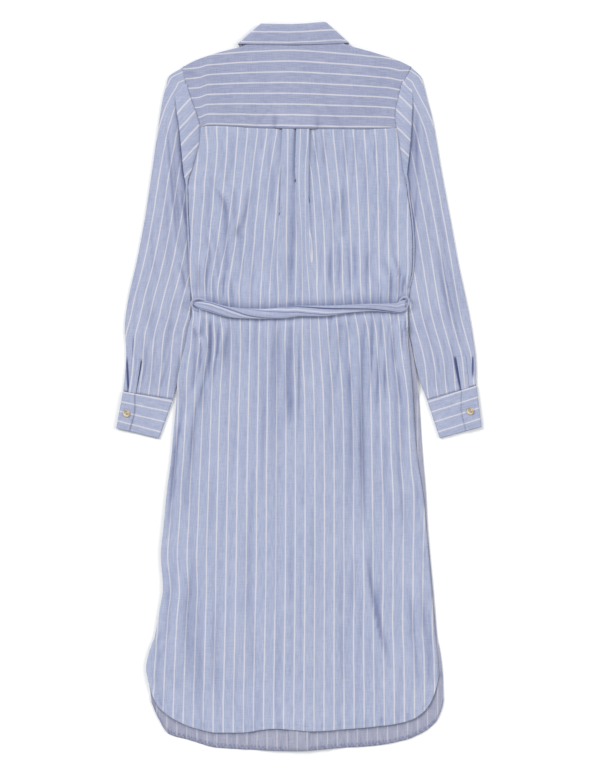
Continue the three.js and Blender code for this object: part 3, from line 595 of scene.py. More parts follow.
def cloth_shell(
    name: str, middle: Array, flat: Array, thickness: float = CLOTH, wear_and_painted_shade: Array | None = None
) -> bpy.types.Object:
    """Makes a closed sheet of cloth about a grid of middle points.

    The first material is the upper skin and the rim, and the second is the lower skin.

    Args:
        name: Name of the piece.
        middle: Grid of X, drop and Z, rows by columns, columns rising with X and rows with the drop.
        flat: Grid of places on the flat cloth.
        thickness: Thickness of the cloth.
        wear_and_painted_shade: Grid of painted shade values, or None for those that the shape gives.

    Returns:
        The new object.
    """
    rows, columns = middle.shape[:2]
    up = np.gradient(middle, axis=0) * (-1, 1, -1)
    aside = np.gradient(middle, axis=1) * (1, -1, 1)
    normal = np.cross(aside, up) * (1, -1, 1)
    normal /= np.maximum(np.linalg.norm(normal, axis=2, keepdims=True), 1e-9)
    skins = np.concatenate((middle + normal * thickness / 2, middle - normal * thickness / 2))
    ids = np.arange(rows * columns).reshape(rows, columns)
    under = rows * columns
    a, b, c, d = ids[:-1, :-1], ids[:-1, 1:], ids[1:, 1:], ids[1:, :-1]
    upper = np.stack((d, c, b, a), axis=-1).reshape(-1, 4)
    lower = np.stack((a, b, c, d), axis=-1).reshape(-1, 4) + under
    rims = [
        np.stack((line[:-1], line[1:], line[1:] + under, line[:-1] + under), axis=-1)
        for line in (ids[0], ids[-1, ::-1], ids[::-1, 0], ids[:, -1])
    ]
    faces = np.concatenate((upper, lower, *rims))
    kinds = np.zeros(len(faces), np.int32)
    kinds[len(upper):len(upper) + len(lower)] = 1
    piece = grid_shell(name, skins, np.concatenate((flat, flat)), faces)
    piece.data.polygons.foreach_set("material_index", kinds)
    # Painted shade: the material darkens the colour by these values.
    wear_and_painted_shade = (crease_shade(middle) if wear_and_painted_shade is None else wear_and_painted_shade).ravel()
    mark_painted_shade(piece, np.concatenate((wear_and_painted_shade, wear_and_painted_shade)))
    return piece


def crease_shade(middle: Array) -> Array:
    """Finds how deep each point lies between its neighbours, from 0 to 1.

    Args:
        middle: Grid of X, drop and Z.

    Returns:
        A value for each point, higher down in creases and on steep slopes, by which the material paints shade
        there.
    """
    z = middle[..., 2]
    soft = z.copy()
    for _ in range(5):
        soft[:, 1:-1] = (soft[:, :-2] + 2 * soft[:, 1:-1] + soft[:, 2:]) / 4
    hollow = np.clip((soft - z) / 0.7, 0, 1)
    run = np.maximum(np.abs(np.gradient(middle[..., 0], axis=1)), 0.6)
    slope = smooth_step(np.abs(np.gradient(z, axis=1)) / run, 0.3, 1.3)
    return np.clip(hollow + 0.5 * slope, 0, 1)


def mark_painted_shade(piece: bpy.types.Object, values: Array) -> None:
    """Keeps a painted shade value at each point of a piece, by which its material darkens the colour."""
    layer = piece.data.attributes.new(name="painted_shade", type="FLOAT", domain="POINT")
    layer.data.foreach_set("value", values.astype(np.float32))


def cloth_area(middle: Array) -> float:
    """Adds up the area of a sheet of cloth.

    Args:
        middle: Grid of X, drop and Z.

    Returns:
        The area in square metres.
    """
    a, b, c, d = middle[:-1, :-1], middle[:-1, 1:], middle[1:, 1:], middle[1:, :-1]
    halves = np.linalg.norm(np.cross(b - a, c - a), axis=2) + np.linalg.norm(np.cross(c - a, d - a), axis=2)
    return float(halves.sum() / 2 * MILLIMETRE * MILLIMETRE)


def linear(colour: Colour) -> tuple[float, float, float, float]:
    """Turns a display colour into the linear one that shaders use.

    Args:
        colour: Red, green and blue from 0 to 255.

    Returns:
        Linear red, green, blue and a full alpha.
    """
    shares = [value / 255 for value in colour]
    parts = [s / 12.92 if s <= 0.04045 else ((s + 0.055) / 1.055) ** 2.4 for s in shares]
    return (parts[0], parts[1], parts[2], 1.0)


class Tree:
    """Short way to place and join shader nodes."""

    def __init__(self, tree: bpy.types.NodeTree) -> None:
        """Keeps the tree to work in."""
        self.tree = tree

    def add(self, kind: str, values: dict | None = None, **settings: object) -> bpy.types.Node:
        """Places a node.

        Args:
            kind: The node's type.
            values: Numbers for its inputs, or sockets that feed them.
            settings: The node's own choices.

        Returns:
            The node.
        """
        node = self.tree.nodes.new(kind)
        for name, setting in settings.items():
            setattr(node, name, setting)
        for name, value in (values or {}).items():
            socket = node.inputs[name]
            if isinstance(value, bpy.types.NodeSocket):
                self.link(value, socket)
            else:
                socket.default_value = value
        return node

    def link(self, output: bpy.types.NodeSocket, place: bpy.types.NodeSocket) -> None:
        """Joins an output to an input."""
        self.tree.links.new(output, place)

    def math(self, operation: str, *values: object) -> bpy.types.NodeSocket:
        """Places a Math node and gives its output."""
        return self.add("ShaderNodeMath", dict(enumerate(values)), operation=operation).outputs[0]

    def range(self, value: object, low: float, high: float, start: float, end: float) -> bpy.types.NodeSocket:
        """Maps a value from one range to another, with soft ends."""
        values = {"Value": value, "From Min": low, "From Max": high, "To Min": start, "To Max": end}
        return self.add("ShaderNodeMapRange", values, interpolation_type="SMOOTHSTEP").outputs[0]

    def scaled(self, vector: object, x: float, y: float) -> bpy.types.NodeSocket:
        """Stretches a place on the cloth."""
        return self.add("ShaderNodeVectorMath", {0: vector, 1: (x, y, 1.0)}, operation="MULTIPLY").outputs[0]

    def noise(self, vector: object, scale: float, detail: float = 2.0) -> bpy.types.NodeSocket:
        """Gives a smooth random value."""
        return self.add("ShaderNodeTexNoise", {"Vector": vector, "Scale": scale, "Detail": detail}).outputs[0]

    def blend(self, share: object, a: object, b: object, how: str = "MIX") -> bpy.types.NodeSocket:
        """Mixes two colours.

        Args:
            share: How much of the second.
            a: The first, as a colour or an output.
            b: The second.
            how: How they mix.

        Returns:
            The mixed colour.
        """
        values = {0: share, 6: a, 7: b}
        return self.add("ShaderNodeMix", values, data_type="RGBA", blend_type=how).outputs[2]


def new_group(
    name: str, inputs: dict[str, float | None], outputs: Sequence[str]
) -> tuple[Tree, object, object]:
    """Starts a shader node group.

    Args:
        name: Name of the effect.
        inputs: Its inputs with their usual values, None for a vector.
        outputs: Its outputs.

    Returns:
        The group's tree, its input node and its output node.
    """
    group = bpy.data.node_groups.new(name, "ShaderNodeTree")
    for label, value in inputs.items():
        kind = "NodeSocketVector" if value is None else "NodeSocketFloat"
        socket = group.interface.new_socket(label, in_out="INPUT", socket_type=kind)
        if value is not None:
            socket.default_value = value
    for label in outputs:
        group.interface.new_socket(label, in_out="OUTPUT", socket_type="NodeSocketFloat")
    tree = Tree(group)
    return tree, tree.add("NodeGroupInput"), tree.add("NodeGroupOutput")


def stripe_group() -> bpy.types.NodeTree:
    """Makes thin woven stripes, a little uneven, by the first number of the place on the cloth.

    Returns:
        The group, which puts out the stripes' mask.
    """
    tree, given, result = new_group(
        "woven_stripes", {"Cloth": None, "Pitch": PITCH * MILLIMETRE, "Width": 0.003}, ["Mask"]
    )
    cloth, pitch, width = (given.outputs[name] for name in ("Cloth", "Pitch", "Width"))
    parts = tree.add("ShaderNodeSeparateXYZ", {0: cloth})
    drift = tree.math("MULTIPLY", tree.math("SUBTRACT", tree.noise(cloth, 38.0), 0.5), 0.0009)
    place = tree.math("DIVIDE", tree.math("ADD", parts.outputs[0], drift), pitch)
    aside = tree.math("ABSOLUTE", tree.math("SUBTRACT", tree.math("FRACT", tree.math("ADD", place, 0.5)), 0.5))
    distance = tree.math("DIVIDE", tree.math("MULTIPLY", aside, pitch), width)
    uneven = tree.noise(tree.scaled(cloth, 900, 420), 1.0)
    fray = tree.math("MULTIPLY", tree.math("SUBTRACT", uneven, 0.5), 0.22)
    mask = tree.range(tree.math("ADD", distance, fray), 0.38, 0.62, 1.0, 0.0)
    tree.link(mask, result.inputs["Mask"])
    return tree.tree


def weave_group() -> bpy.types.NodeTree:
    """Makes a plain weave of mixed light and dark threads, with slubs along both.

    Returns:
        The group, which puts out the threads' tone and height.
    """
    tree, given, result = new_group("plain_weave", {"Cloth": None, "Slub": 0.5}, ["Tone", "Height"])
    cloth, slub = given.outputs["Cloth"], given.outputs["Slub"]
    warp = tree.noise(tree.scaled(cloth, 760, 46), 1.0, 3.0)
    weft = tree.noise(tree.scaled(cloth, 52, 820), 1.0, 3.0)
    fleck = tree.noise(tree.scaled(cloth, 620, 620), 1.0, 2.0)
    broad = tree.noise(cloth, 14.0, 3.0)
    threads = tree.math("ADD", tree.math("MULTIPLY", warp, 0.42), tree.math("MULTIPLY", weft, 0.24))
    mixed = tree.math("ADD", threads, tree.math("MULTIPLY", fleck, 0.22))
    tone = tree.math("ADD", mixed, tree.math("MULTIPLY", broad, 0.12))
    tree.link(tree.range(tone, 0.36, 0.64, 0.0, 1.0), result.inputs["Tone"])
    thread_waves = {"Vector": cloth, "Scale": 620.0, "Distortion": 0.6}
    across_threads, along_threads = (
        tree.add("ShaderNodeTexWave", thread_waves, bands_direction=run).outputs[1] for run in ("X", "Y")
    )
    plain = tree.math("MULTIPLY", tree.math("ADD", across_threads, along_threads), 0.25)
    slubs = tree.math("MULTIPLY", tree.math("ADD", warp, weft), slub)
    tree.link(tree.math("ADD", plain, slubs), result.inputs["Height"])
    return tree.tree


class Finish:
    """What every material is started from."""

    name: str

    def start(self) -> tuple[bpy.types.Material, Tree, bpy.types.NodeInputs]:
        """Starts the material.

        Returns:
            The material, its nodes and its shader's inputs.
        """
        material = bpy.data.materials.new(self.name)
        material.use_nodes = True
        return material, Tree(material.node_tree), material.node_tree.nodes["Principled BSDF"].inputs


@dataclass(frozen=True)
class Shirting(Finish):
    """Striped shirting cotton with a dry, faintly silky face."""

    name: str
    light: Colour
    dark: Colour
    stripe: Colour = (212, 209, 216)
    stripe_strength: float = 0.92
    stripe_width: float = 0.0022
    # Painted shade: in creases and hollows the colour is multiplied towards this tint.
    painted_shade_tint: Colour = (150, 158, 190)
    painted_shade_strength: float = 0.65
    # Dark painted shade that the colour turns to at the deepest slits and fold edges.
    slit: Colour = (66, 74, 116)
    slub: float = 0.35
    pitch: float = PITCH * MILLIMETRE

    def build(self, stripes: bpy.types.NodeTree, weave: bpy.types.NodeTree) -> bpy.types.Material:
        """Makes the material.

        Args:
            stripes: The stripe group.
            weave: The weave group.

        Returns:
            The material.
        """
        material, tree, shader = self.start()
        cloth = tree.add("ShaderNodeUVMap", uv_map="cloth").outputs[0]
        striped = tree.add("ShaderNodeGroup", node_tree=stripes)
        woven = tree.add("ShaderNodeGroup", node_tree=weave)
        for node in (striped, woven):
            tree.link(cloth, node.inputs["Cloth"])
        striped.inputs["Pitch"].default_value = self.pitch
        striped.inputs["Width"].default_value = self.stripe_width
        woven.inputs["Slub"].default_value = self.slub
        tone = woven.outputs["Tone"]
        ground = tree.blend(tone, linear(self.dark), linear(self.light))
        share = tree.math("MULTIPLY", striped.outputs["Mask"], self.stripe_strength)
        wear_and_painted_shade = tree.math("MULTIPLY", share, tree.range(tone, 0.0, 1.0, 0.84, 1.0))
        colour = tree.blend(wear_and_painted_shade, ground, linear(self.stripe))
        # Painted shade: each point's painted shade value darkens the colour, and its highest values turn it to
        # the dark painted shade of slits.
        painted_shade = tree.add("ShaderNodeAttribute", attribute_name="painted_shade").outputs["Fac"]
        depth = tree.math("MULTIPLY", painted_shade, self.painted_shade_strength)
        colour_with_painted_shade = tree.blend(depth, colour, linear(self.painted_shade_tint), "MULTIPLY")
        shaded = tree.blend(tree.range(painted_shade, 1.0, 1.8, 0.0, 0.85), colour_with_painted_shade, linear(self.slit))
        tree.link(shaded, shader["Base Color"])
        tree.link(tree.range(tone, 0.0, 1.0, 0.92, 0.8), shader["Roughness"])
        relief = {"Strength": 0.35, "Distance": 0.00025, "Height": woven.outputs["Height"]}
        bump = tree.add("ShaderNodeBump", relief)
        tree.link(bump.outputs[0], shader["Normal"])
        shader["Sheen Weight"].default_value = 0.12
        shader["Sheen Roughness"].default_value = 0.45
        shader["Specular IOR Level"].default_value = 0.3
        return material


@dataclass(frozen=True)
class Horn(Finish):
    """Pale polished horn, cloudy and streaked with brown."""

    name: str = "pale_horn"
    pale: Colour = (222, 208, 172)
    brown: Colour = (166, 134, 92)
    rough: float = 0.32

    def build(self) -> bpy.types.Material:
        """Makes the material.

        Returns:
            The material.
        """
        material, tree, shader = self.start()
        place = tree.add("ShaderNodeTexCoord").outputs["Object"]
        clouds = tree.noise(place, 240.0, 5.0)
        streaks = tree.noise(tree.scaled(place, 900, 160), 1.0, 3.0)
        mixed = tree.math("ADD", tree.math("MULTIPLY", clouds, 0.6), tree.math("MULTIPLY", streaks, 0.4))
        share = tree.range(mixed, 0.4, 0.66, 0.0, 1.0)
        tree.link(tree.blend(share, linear(self.pale), linear(self.brown)), shader["Base Color"])
        tree.link(tree.range(clouds, 0.3, 0.7, self.rough - 0.06, self.rough + 0.1), shader["Roughness"])
        bump = tree.add("ShaderNodeBump", {"Strength": 0.15, "Distance": 0.0001, "Height": streaks})
        tree.link(bump.outputs[0], shader["Normal"])
        return material


@dataclass(frozen=True)
class Thread(Finish):
    """Twisted sewing thread."""

    name: str = "sewing_thread"
    colour: Colour = (196, 203, 224)
    shadow: Colour = (150, 160, 190)

    def build(self) -> bpy.types.Material:
        """Makes the material.

        Returns:
            The material.
        """
        material, tree, shader = self.start()
        place = tree.add("ShaderNodeTexCoord").outputs["Object"]
        twist = tree.noise(tree.scaled(place, 2600, 2600), 1.0, 2.0)
        colour = tree.blend(tree.range(twist, 0.3, 0.7, 0.0, 1.0), linear(self.shadow), linear(self.colour))
        tree.link(colour, shader["Base Color"])
        tree.link(tree.range(twist, 0.3, 0.7, 0.7, 0.9), shader["Roughness"])
        return material


@dataclass(frozen=True)
class PaleFloor(Finish):
    """Even white paper under the dress."""

    name: str = "pale_floor"
    colour: Colour = (250, 250, 250)
    grain: Colour = (248, 248, 248)

    def build(self) -> bpy.types.Material:
        """Makes the material.

        Returns:
            The material.
        """
        material, tree, shader = self.start()
        grain = tree.noise(tree.add("ShaderNodeTexCoord").outputs["Object"], 300.0)
        tree.link(tree.blend(grain, linear(self.colour), linear(self.grain)), shader["Base Color"])
        shader["Roughness"].default_value = 0.95
        shader["Specular IOR Level"].default_value = 0.1
        return material


class Fabric(Enum):
    """The cloth as it looks on each part of the dress."""

    BODY = Shirting("shirting_body", (179, 185, 207), (153, 162, 190))
    YOKE = Shirting("shirting_yoke", (169, 173, 196), (143, 149, 177))
    SLEEVE = Shirting("shirting_sleeve", (179, 184, 206), (152, 160, 188))
    BELT = Shirting("shirting_belt", (178, 182, 205), (152, 160, 188), (204, 204, 216), 0.8)
    INSIDE = Shirting("shirting_inside", (170, 171, 189), (146, 149, 170), (194, 190, 200), 0.75)


class Finishes:
    """All the dress's materials, made once."""

    def __init__(self) -> None:
        """Builds the two groups and every material from them."""
        groups = (stripe_group(), weave_group())
        self.fabrics = {fabric: fabric.value.build(*groups) for fabric in Fabric}
        self.horn = Horn().build()
        self.thread = Thread().build()
        self.floor = PaleFloor().build()

    def dress(self, piece: bpy.types.Object, *fabrics: Fabric) -> None:
        """Puts cloths in a piece's slots, in order."""
        for fabric in fabrics:
            piece.data.materials.append(self.fabrics[fabric])


def declare(piece: bpy.types.Object, node: str, slot: str = "cloth") -> bpy.types.Object:
    """Puts a piece on the body and hides the imported solid that it stands for.

    Args:
        piece: The piece.
        node: Name of the solid.
        slot: Not used.

    Returns:
        The piece.
    """
    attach(piece, "root")
    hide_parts(node)
    return piece


@dataclass(frozen=True)
class Cut:
    """Flat size of what shows of a sheet, in metres, an upper bound on its area, and how it lies."""

    size: tuple[float, float]
    most: float
    digits: int = 3
    held: str = "laid"
    rests_on: tuple[str, ...] = ()


class ClothPiece:
    """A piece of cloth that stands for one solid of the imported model."""

    node: str
    slot: str = "cloth"
    thickness: float = CLOTH
    fabrics: tuple[Fabric, ...] = (Fabric.SLEEVE, Fabric.INSIDE)
    cut: Cut | None = None

    def surface(self) -> tuple[Array, Array]:
        """Works out the piece's middle points and stripe places; each piece has its own way."""
        raise NotImplementedError

    def wear_and_painted_shade(self, middle: Array) -> Array:
        """Gives a painted shade value for each of the middle points."""
        return crease_shade(middle)

    def shell(self, finishes: Finishes, middle: Array, flat: Array) -> bpy.types.Object:
        """Makes the piece from its middle points.

        Args:
            finishes: The dress's materials.
            middle: Its grid of middle points.
            flat: Its grid of places on the flat cloth.

        Returns:
            The piece, with its materials.
        """
        piece = cloth_shell(f"{self.node}_cloth", middle, flat, self.thickness, self.wear_and_painted_shade(middle))
        finishes.dress(piece, *self.fabrics)
        return piece

    def build(self, finishes: Finishes) -> bpy.types.Object:
        """Args:
            finishes: The dress's materials.

        Returns:
            The piece.
        """
        middle, flat = self.surface()
        piece = declare(self.shell(finishes, middle, flat), self.node, self.slot)
        cut = self.cut
        if cut is not None:
            area = round(min(cloth_area(middle), cut.most), cut.digits)
            list(cut.rests_on)
        return piece


class SidedPiece(ClothPiece):
    """A piece that there is one of at each side."""

    stem: str
    side: Side

    @property
    def node(self) -> str:
        """Names the solid that the piece stands for."""
        return f"{self.stem}_{self.side.value}"


FRONT_CLOTHS = ("front_left_cloth", "front_right_cloth")


@dataclass
class BackPanel(ClothPiece):
    """The back below the yoke: a box pleat and a tuck set into the seam, and soft folds."""

    node = "back_panel"
    fabrics = (Fabric.BODY, Fabric.INSIDE)
    cut = Cut((0.49, 1.0), 0.49, rests_on=FRONT_CLOTHS)
    side_columns: int = 27
    between_columns: int = 24
    top_rows: int = 3
    body_start: float = 148.0
    body_step: float = 5.0
    hem_start: float = 1000.0
    hem_rows: int = 30
    anchors: dict[str, Array] = field(default_factory=lambda: table(
        "row left x_8 x_4 x4 x8 right",
        (133, -11.75, 237.8, 276.7, 313.0, 353.3, 12.2), (180, -12.7, 233.9, 269.1, 319.2, 356.8, 12.7),
        (240, -12.2, 226.9, 263.9, 324.2, 359.5, 13.5), (293, -12.1, 218, 260.9, 325.3, 360.7, 13.3),
        (340, -12.6, 222.8, 259, 328.2, 369, 13.1), (400, -13.2, 219.9, 258.1, 332.6, 370.8, 12.6),
        (480, -13.6, 217.8, 256.8, 334.1, 372.1, 12.8), (560, -13.7, 216.1, 256.4, 334.1, 373, 13.6),
        (612, -14.0, 215.5, 255.3, 334, 373.1, 14.1), (636, -14.2, 215.0, 254.8, 333.9, 373.2, 14.3),
        (652, -14.66, 214.6, 254.4, 333.9, 373.4, 14.35), (668, -14.82, 214.2, 254.2, 333.9, 373.6, 14.4),
        (684, -14.4, 213.8, 253.8, 334, 373.8, 14.45), (700, -14.3, 213.2, 253.5, 334, 374.1, 14.5),
    ))
    pleat_stripes: dict[str, Array] = field(default_factory=lambda: table(
        "row x_3 x_1 x0 x1 x2 x3",
        (133, 284.5, 287.9, 297.0, 300.5, 308.0, 303.0), (180, 278.8, 287.4, 295.6, 299.0, 305.1, 312.2),
        (240, 274.1, 286.4, 296.4, 301.8, 305.6, 315.8), (293, 270.5, 287.0, 295.7, 302.5, 309.2, 318.0),
        (340, 267.7, 285.0, 293.6, 302.3, 310.9, 319.6), (400, 267.4, 286.0, 295.3, 304.7, 314.0, 323.3),
        (480, 266.5, 285.8, 295.4, 305.1, 314.8, 324.4), (560, 266.1, 285.5, 295.2, 305.0, 314.7, 324.4),
        (700, 263.6, 283.7, 293.8, 303.8, 313.9, 323.9),
    ))
    left_pleat: dict[str, Array] = field(default_factory=lambda: table(
        "drop edge hidden rise",
        (135, -26.5, 15, 3), (190, -29, 9, 3), (255, -30, 3, 3), (320, -33, -7, 2), (370, -37, -12, 1),
        (408, -40, -16, 0),
    ))
    tuck: dict[str, Array] = field(default_factory=lambda: table(
        "drop edge hidden rise",
        (135, -3.5, 6, 3), (175, -5, 4.5, 3), (209, -5.5, 2.5, 3), (250, -1, -5, 2.2), (330, 2, -6, 1),
        (400, 2, -8, 0),
    ))
    right_pleat: dict[str, Array] = field(default_factory=lambda: table(
        "drop edge hidden rise",
        (135, 16.5, 11, 3), (186, 15.5, 7, 3), (222, 15, 3.5, 3), (300, 17, -5, 2.4), (370, 21, -8, 1.2),
        (408, 24, -12, 0),
    ))

    def pleat_steps(self, rows: dict[str, Array], drop: Array) -> tuple[Array, Array, Array]:
        """Follows a fold from the layer beneath to the layer on top.

        Args:
            rows: The pleat's table.
            drop: Drops to follow it at.

        Returns:
            The fold's edge, then offsets from it and heights at each of its steps.
        """
        edge, hidden, rise = (curve(rows, name)(drop) for name in ("edge", "hidden", "rise"))
        radius = PLEAT_RISE / 4
        turn = np.clip(hidden / (2 * radius), 0, 1)
        places = ((1, 0, 0.0), (1, 0.7, 0.1), (1, 1, 0.25), (1, 0.7, 0.4), (1, 0, 0.5), (0.5, 0, 0.5),
                  (0, 0, 0.5), (0, -0.7, 0.6), (0, -1, 0.75), (0, -0.7, 0.92), (0, 0, 1))
        count = len(places) - 1
        offsets, heights = [], []
        for i, (share, turns, level) in enumerate(places):
            offsets.append(mix(hidden * (1 - i / count), hidden * share + radius * turns, turn))
            heights.append(mix(smooth_step(i / count, 0, 1), level, turn) * rise)
        return edge, np.stack(offsets, axis=-1), np.stack(heights, axis=-1)

    def centre_section(self, drop: Array, start: Array, end: Array) -> tuple[Array, Array]:
        """Goes across the pleats between the fourth stripes at each side.

        Args:
            drop: Drop of each row.
            start: X of the left fourth stripe.
            end: X of the right fourth stripe.

        Returns:
            X and added height, rows by columns.
        """
        pleats = (self.left_pleat, self.tuck, self.right_pleat)
        left, tuck, right = (self.pleat_steps(rows, drop) for rows in pleats)
        left_x, tuck_x = left[0][:, None] + left[1], tuck[0][:, None] + tuck[1]
        right_x = (right[0][:, None] - right[1])[:, ::-1]
        right_z = right[2][:, ::-1]
        xs = [mix(start, left_x[:, 0], t) for t in np.linspace(0, 1, 9)[:-1]]
        zs = [np.zeros_like(drop)] * 8
        xs += list(left_x.T)
        zs += list(left[2].T)
        last_z = left[2][:, -1]
        clear = np.maximum(left_x[:, 0], left_x[:, -1]) + 1
        meet = tuck_x[:, 0] - np.maximum(tuck_x[:, 0] - tuck_x[:, -1], 0) - 1.5
        for t in np.linspace(0, 1, 6)[:-1]:
            xs.append(mix(clear, meet, t))
            zs.append(last_z * (1 - smooth_step(t, 0, 1)))
        xs += list(tuck_x.T)
        zs += list(tuck[2].T)
        for t in np.linspace(0, 1, 7)[1:-1]:
            xs.append(mix(tuck_x[:, -1], right_x[:, 0], t))
            zs.append(mix(tuck[2][:, -1], right_z[:, 0], t))
        xs += list(right_x.T)
        zs += list(right_z.T)
        xs += [mix(right_x[:, -1], end, t) for t in np.linspace(0, 1, 9)[1:]]
        zs += [np.zeros_like(drop)] * 8
        return np.stack(xs, axis=-1), np.stack(zs, axis=-1)

    def centre_numbers(self, row: Array, xs: Array, start: Array, end: Array) -> Array:
        """Numbers the stripes over the pleats, some of them hidden in the folds.

        Args:
            row: Row of the photograph for each row of points.
            xs: X of each point.
            start: X of the left fourth stripe.
            end: X of the right fourth stripe.

        Returns:
            The number at every point.
        """
        x_3, x_1, x0, x1, x2, x3 = (
            across(curve(self.pleat_stripes, name)(row))[:, None]
            for name in ("x_3", "x_1", "x0", "x1", "x2", "x3")
        )
        start, end = start[:, None], end[:, None]
        number = np.zeros_like(xs)
        left, tuck, right = slice(8, 19), slice(24, 35), slice(40, 51)
        number[:, :9] = (-4 + (xs - start) / (x_3 - start))[:, :9]
        number[:, 18:25] = (-1 + (xs - x_1) / (x0 - x_1))[:, 18:25]
        number[:, 34:41] = (1 + (xs - x1) / (x2 - x1))[:, 34:41]
        number[:, 50:] = (4 - (end - xs) / (end - x3))[:, 50:]
        for steps in (left, tuck, right):
            share = np.linspace(0, 1, steps.stop - steps.start)[None, :]
            number[:, steps] = mix(number[:, steps.start][:, None], number[:, steps.stop - 1][:, None], share)
        return number

    def drops(self) -> Array:
        """Gives each row's drop at the middle of the panel.

        Returns:
            The drops, from the yoke seam to the hem.
        """
        seam = float(yoke_seam(0)) + 0.2
        top = np.linspace(seam, self.body_start, self.top_rows + 1)[:-1]
        body = np.arange(self.body_start, self.hem_start, self.body_step)
        ease = 1 - (1 - np.linspace(0, 1, self.hem_rows)) ** 1.4
        return np.concatenate((top, body, self.hem_start + ease * (float(back_hem(0)) - self.hem_start)))

    def surface(self) -> tuple[Array, Array]:
        """Works out the panel's middle points and stripe places.

        Returns:
            The grid of points and the grid of places on the flat cloth.
        """
        drop = self.drops()
        row = row_of(drop)
        x_8, x_4, x4, x8 = (across(curve(self.anchors, name)(row)) for name in ("x_8", "x_4", "x4", "x8"))
        left_drop, right_drop = self.edge_drops(drop)
        first = curve(self.anchors, "left")(row_of(left_drop))
        last = curve(self.anchors, "right")(row_of(right_drop))
        left, right = left_edge(left_drop), right_edge(right_drop)
        centre_x, centre_z = self.centre_section(drop, x_4, x4)

        lap = SEAM_LAP * (1 - smooth_step(drop, 205, 226))
        lap_left = lap + 2.6 * smooth_step(row, 235, 262) * (1 - smooth_step(row, 330, 352))
        lap_right = lap + 4.4 * smooth_step(row, 276, 294) * (1 - smooth_step(row, 322, 346))

        def span(start: Array, end: Array, columns: int) -> Array:
            """Shares columns evenly between two edges."""
            return start[:, None] + (end - start)[:, None] * np.linspace(0, 1, columns + 1)[None, :]

        parts_x = [
            span(left - lap_left, x_8, self.side_columns), span(x_8, x_4, self.between_columns), centre_x,
            span(x4, x8, self.between_columns), span(x8, right + lap_right, self.side_columns),
        ]
        numbers = ((first, -8.0), (-8.0, -4.0), (-4.0, 4.0), (4.0, 8.0), (8.0, last))
        grids, stripes = [], []
        for k, (xs, (start, end)) in enumerate(zip(parts_x, numbers)):
            level = centre_z if k == 2 else 0
            drops = self.row_drops(drop, xs)
            z = self.height(xs, drops) + level
            grid = stack(xs, drops, z)
            if k == 2:
                number = self.centre_numbers(row, xs, x_4, x4)
            else:
                number = spread(stack(xs, 0 * xs, z), start, end)
            keep = slice(0, None) if k == len(parts_x) - 1 else slice(0, -1)
            grids.append(grid[:, keep])
            stripes.append(number[:, keep])
        points = np.concatenate(grids, axis=1)
        return points, pair(np.concatenate(stripes, axis=1) * PITCH, points[..., 1])

    def hem_share(self, drop: Array) -> Array:
        """Gives how far each row has bent to the hem."""
        return np.clip((drop - self.hem_start) / (float(back_hem(0)) - self.hem_start), 0, 1)

    def edge_drops(self, drop: Array) -> tuple[Array, Array]:
        """Gives the drops of each row's two ends, where the last rows bend to the hem.

        Args:
            drop: Drop of each row at the middle.

        Returns:
            Drops at the left and the right end.
        """
        bottom, share = float(back_hem(0)), self.hem_share(drop)
        return tuple(drop + share * (end - bottom) for end in (back_hem.ys[0], back_hem.ys[-1]))

    def row_drops(self, drop: Array, xs: Array) -> Array:
        """Bends the first rows to the yoke seam and the last ones to the hem.

        Args:
            drop: Drop of each row at the middle.
            xs: X of each point.

        Returns:
            The drop of each point.
        """
        left_drop, right_drop = self.edge_drops(drop)
        left, right = left_edge(left_drop)[:, None], right_edge(right_drop)[:, None]
        fade = 1 - smooth_step(drop, float(yoke_seam(0)), 150)
        bend_seam = (yoke_seam(xs) - yoke_seam(0)) * fade[:, None]
        place = np.clip((xs - left) / (right - left), 0, 1)
        target = back_hem(mix(back_hem.xs[0], back_hem.xs[-1], place))
        return drop[:, None] + bend_seam + self.hem_share(drop)[:, None] * (target - float(back_hem(0)))

    def height(self, x: Array, drop: Array) -> Array:
        """Finds the height of the cloth with its folds, gathers and puckered hem.

        Args:
            x: Places across.
            drop: Places down.

        Returns:
            The height at each place.
        """
        z = back_middle(x, drop) + BACK_FOLDS.height(x, drop) + BACK_CREASES.height(x, drop)
        for small in GATHERS:
            z = z + small.height(x, drop)
        under_belt = plateau(drop - belt_line(x), 6, 9)
        calm = np.clip((drop - 150) / 120, 0.25, 1)
        waves = 0.4 * ripple(x, drop, 3, 46, 9) + 0.2 * ripple(x, drop, 4, 21, 6)
        z = z + (0.5 + waves) * calm
        to_hem = back_hem(x) - drop
        to_side = np.minimum(x - left_edge(drop), right_edge(drop) - x)
        z = z + pucker(to_hem, x, 0.45, 14)
        seam = pucker(to_side, drop, 0.3, 34) * smooth_step(drop, 440, 500)
        from_belt = np.abs(drop - belt_line(x))
        puffed = 2.6 * smooth_step(from_belt, 8, 22) * (1 - smooth_step(from_belt, 22, 80))
        z = z + puffed * smooth_step(to_side, 4, 40)
        pressed = np.minimum(z, back_middle(x, drop) + 2.2)
        return np.where(under_belt > 0, mix(z + seam, pressed, under_belt), z + seam)

    def wear_and_painted_shade(self, middle: Array) -> Array:
        """Adds a painted shadow above and below the belt to the painted shade in the creases.

        Args:
            middle: The panel's middle points.

        Returns:
            A painted shade value for each point.
        """
        x, drop = middle[..., 0], middle[..., 1]
        width = belt_half_width(x)
        above = belt_line(x) - width - drop
        below = drop - belt_line(x) - width
        # Painted shadow just above and below the belt.
        painted_belt_shadow = 0.75 * np.exp(-((above / 6.5) ** 2)) * (above > -3)
        painted_belt_shadow = painted_belt_shadow + 0.5 * np.exp(-((below / 4) ** 2)) * (below > -3)
        shade = crease_shade(middle) + painted_belt_shadow * (np.abs(x) < 182) * smooth_step(drop, 380, 400)
        return np.clip(shade, 0, 1)


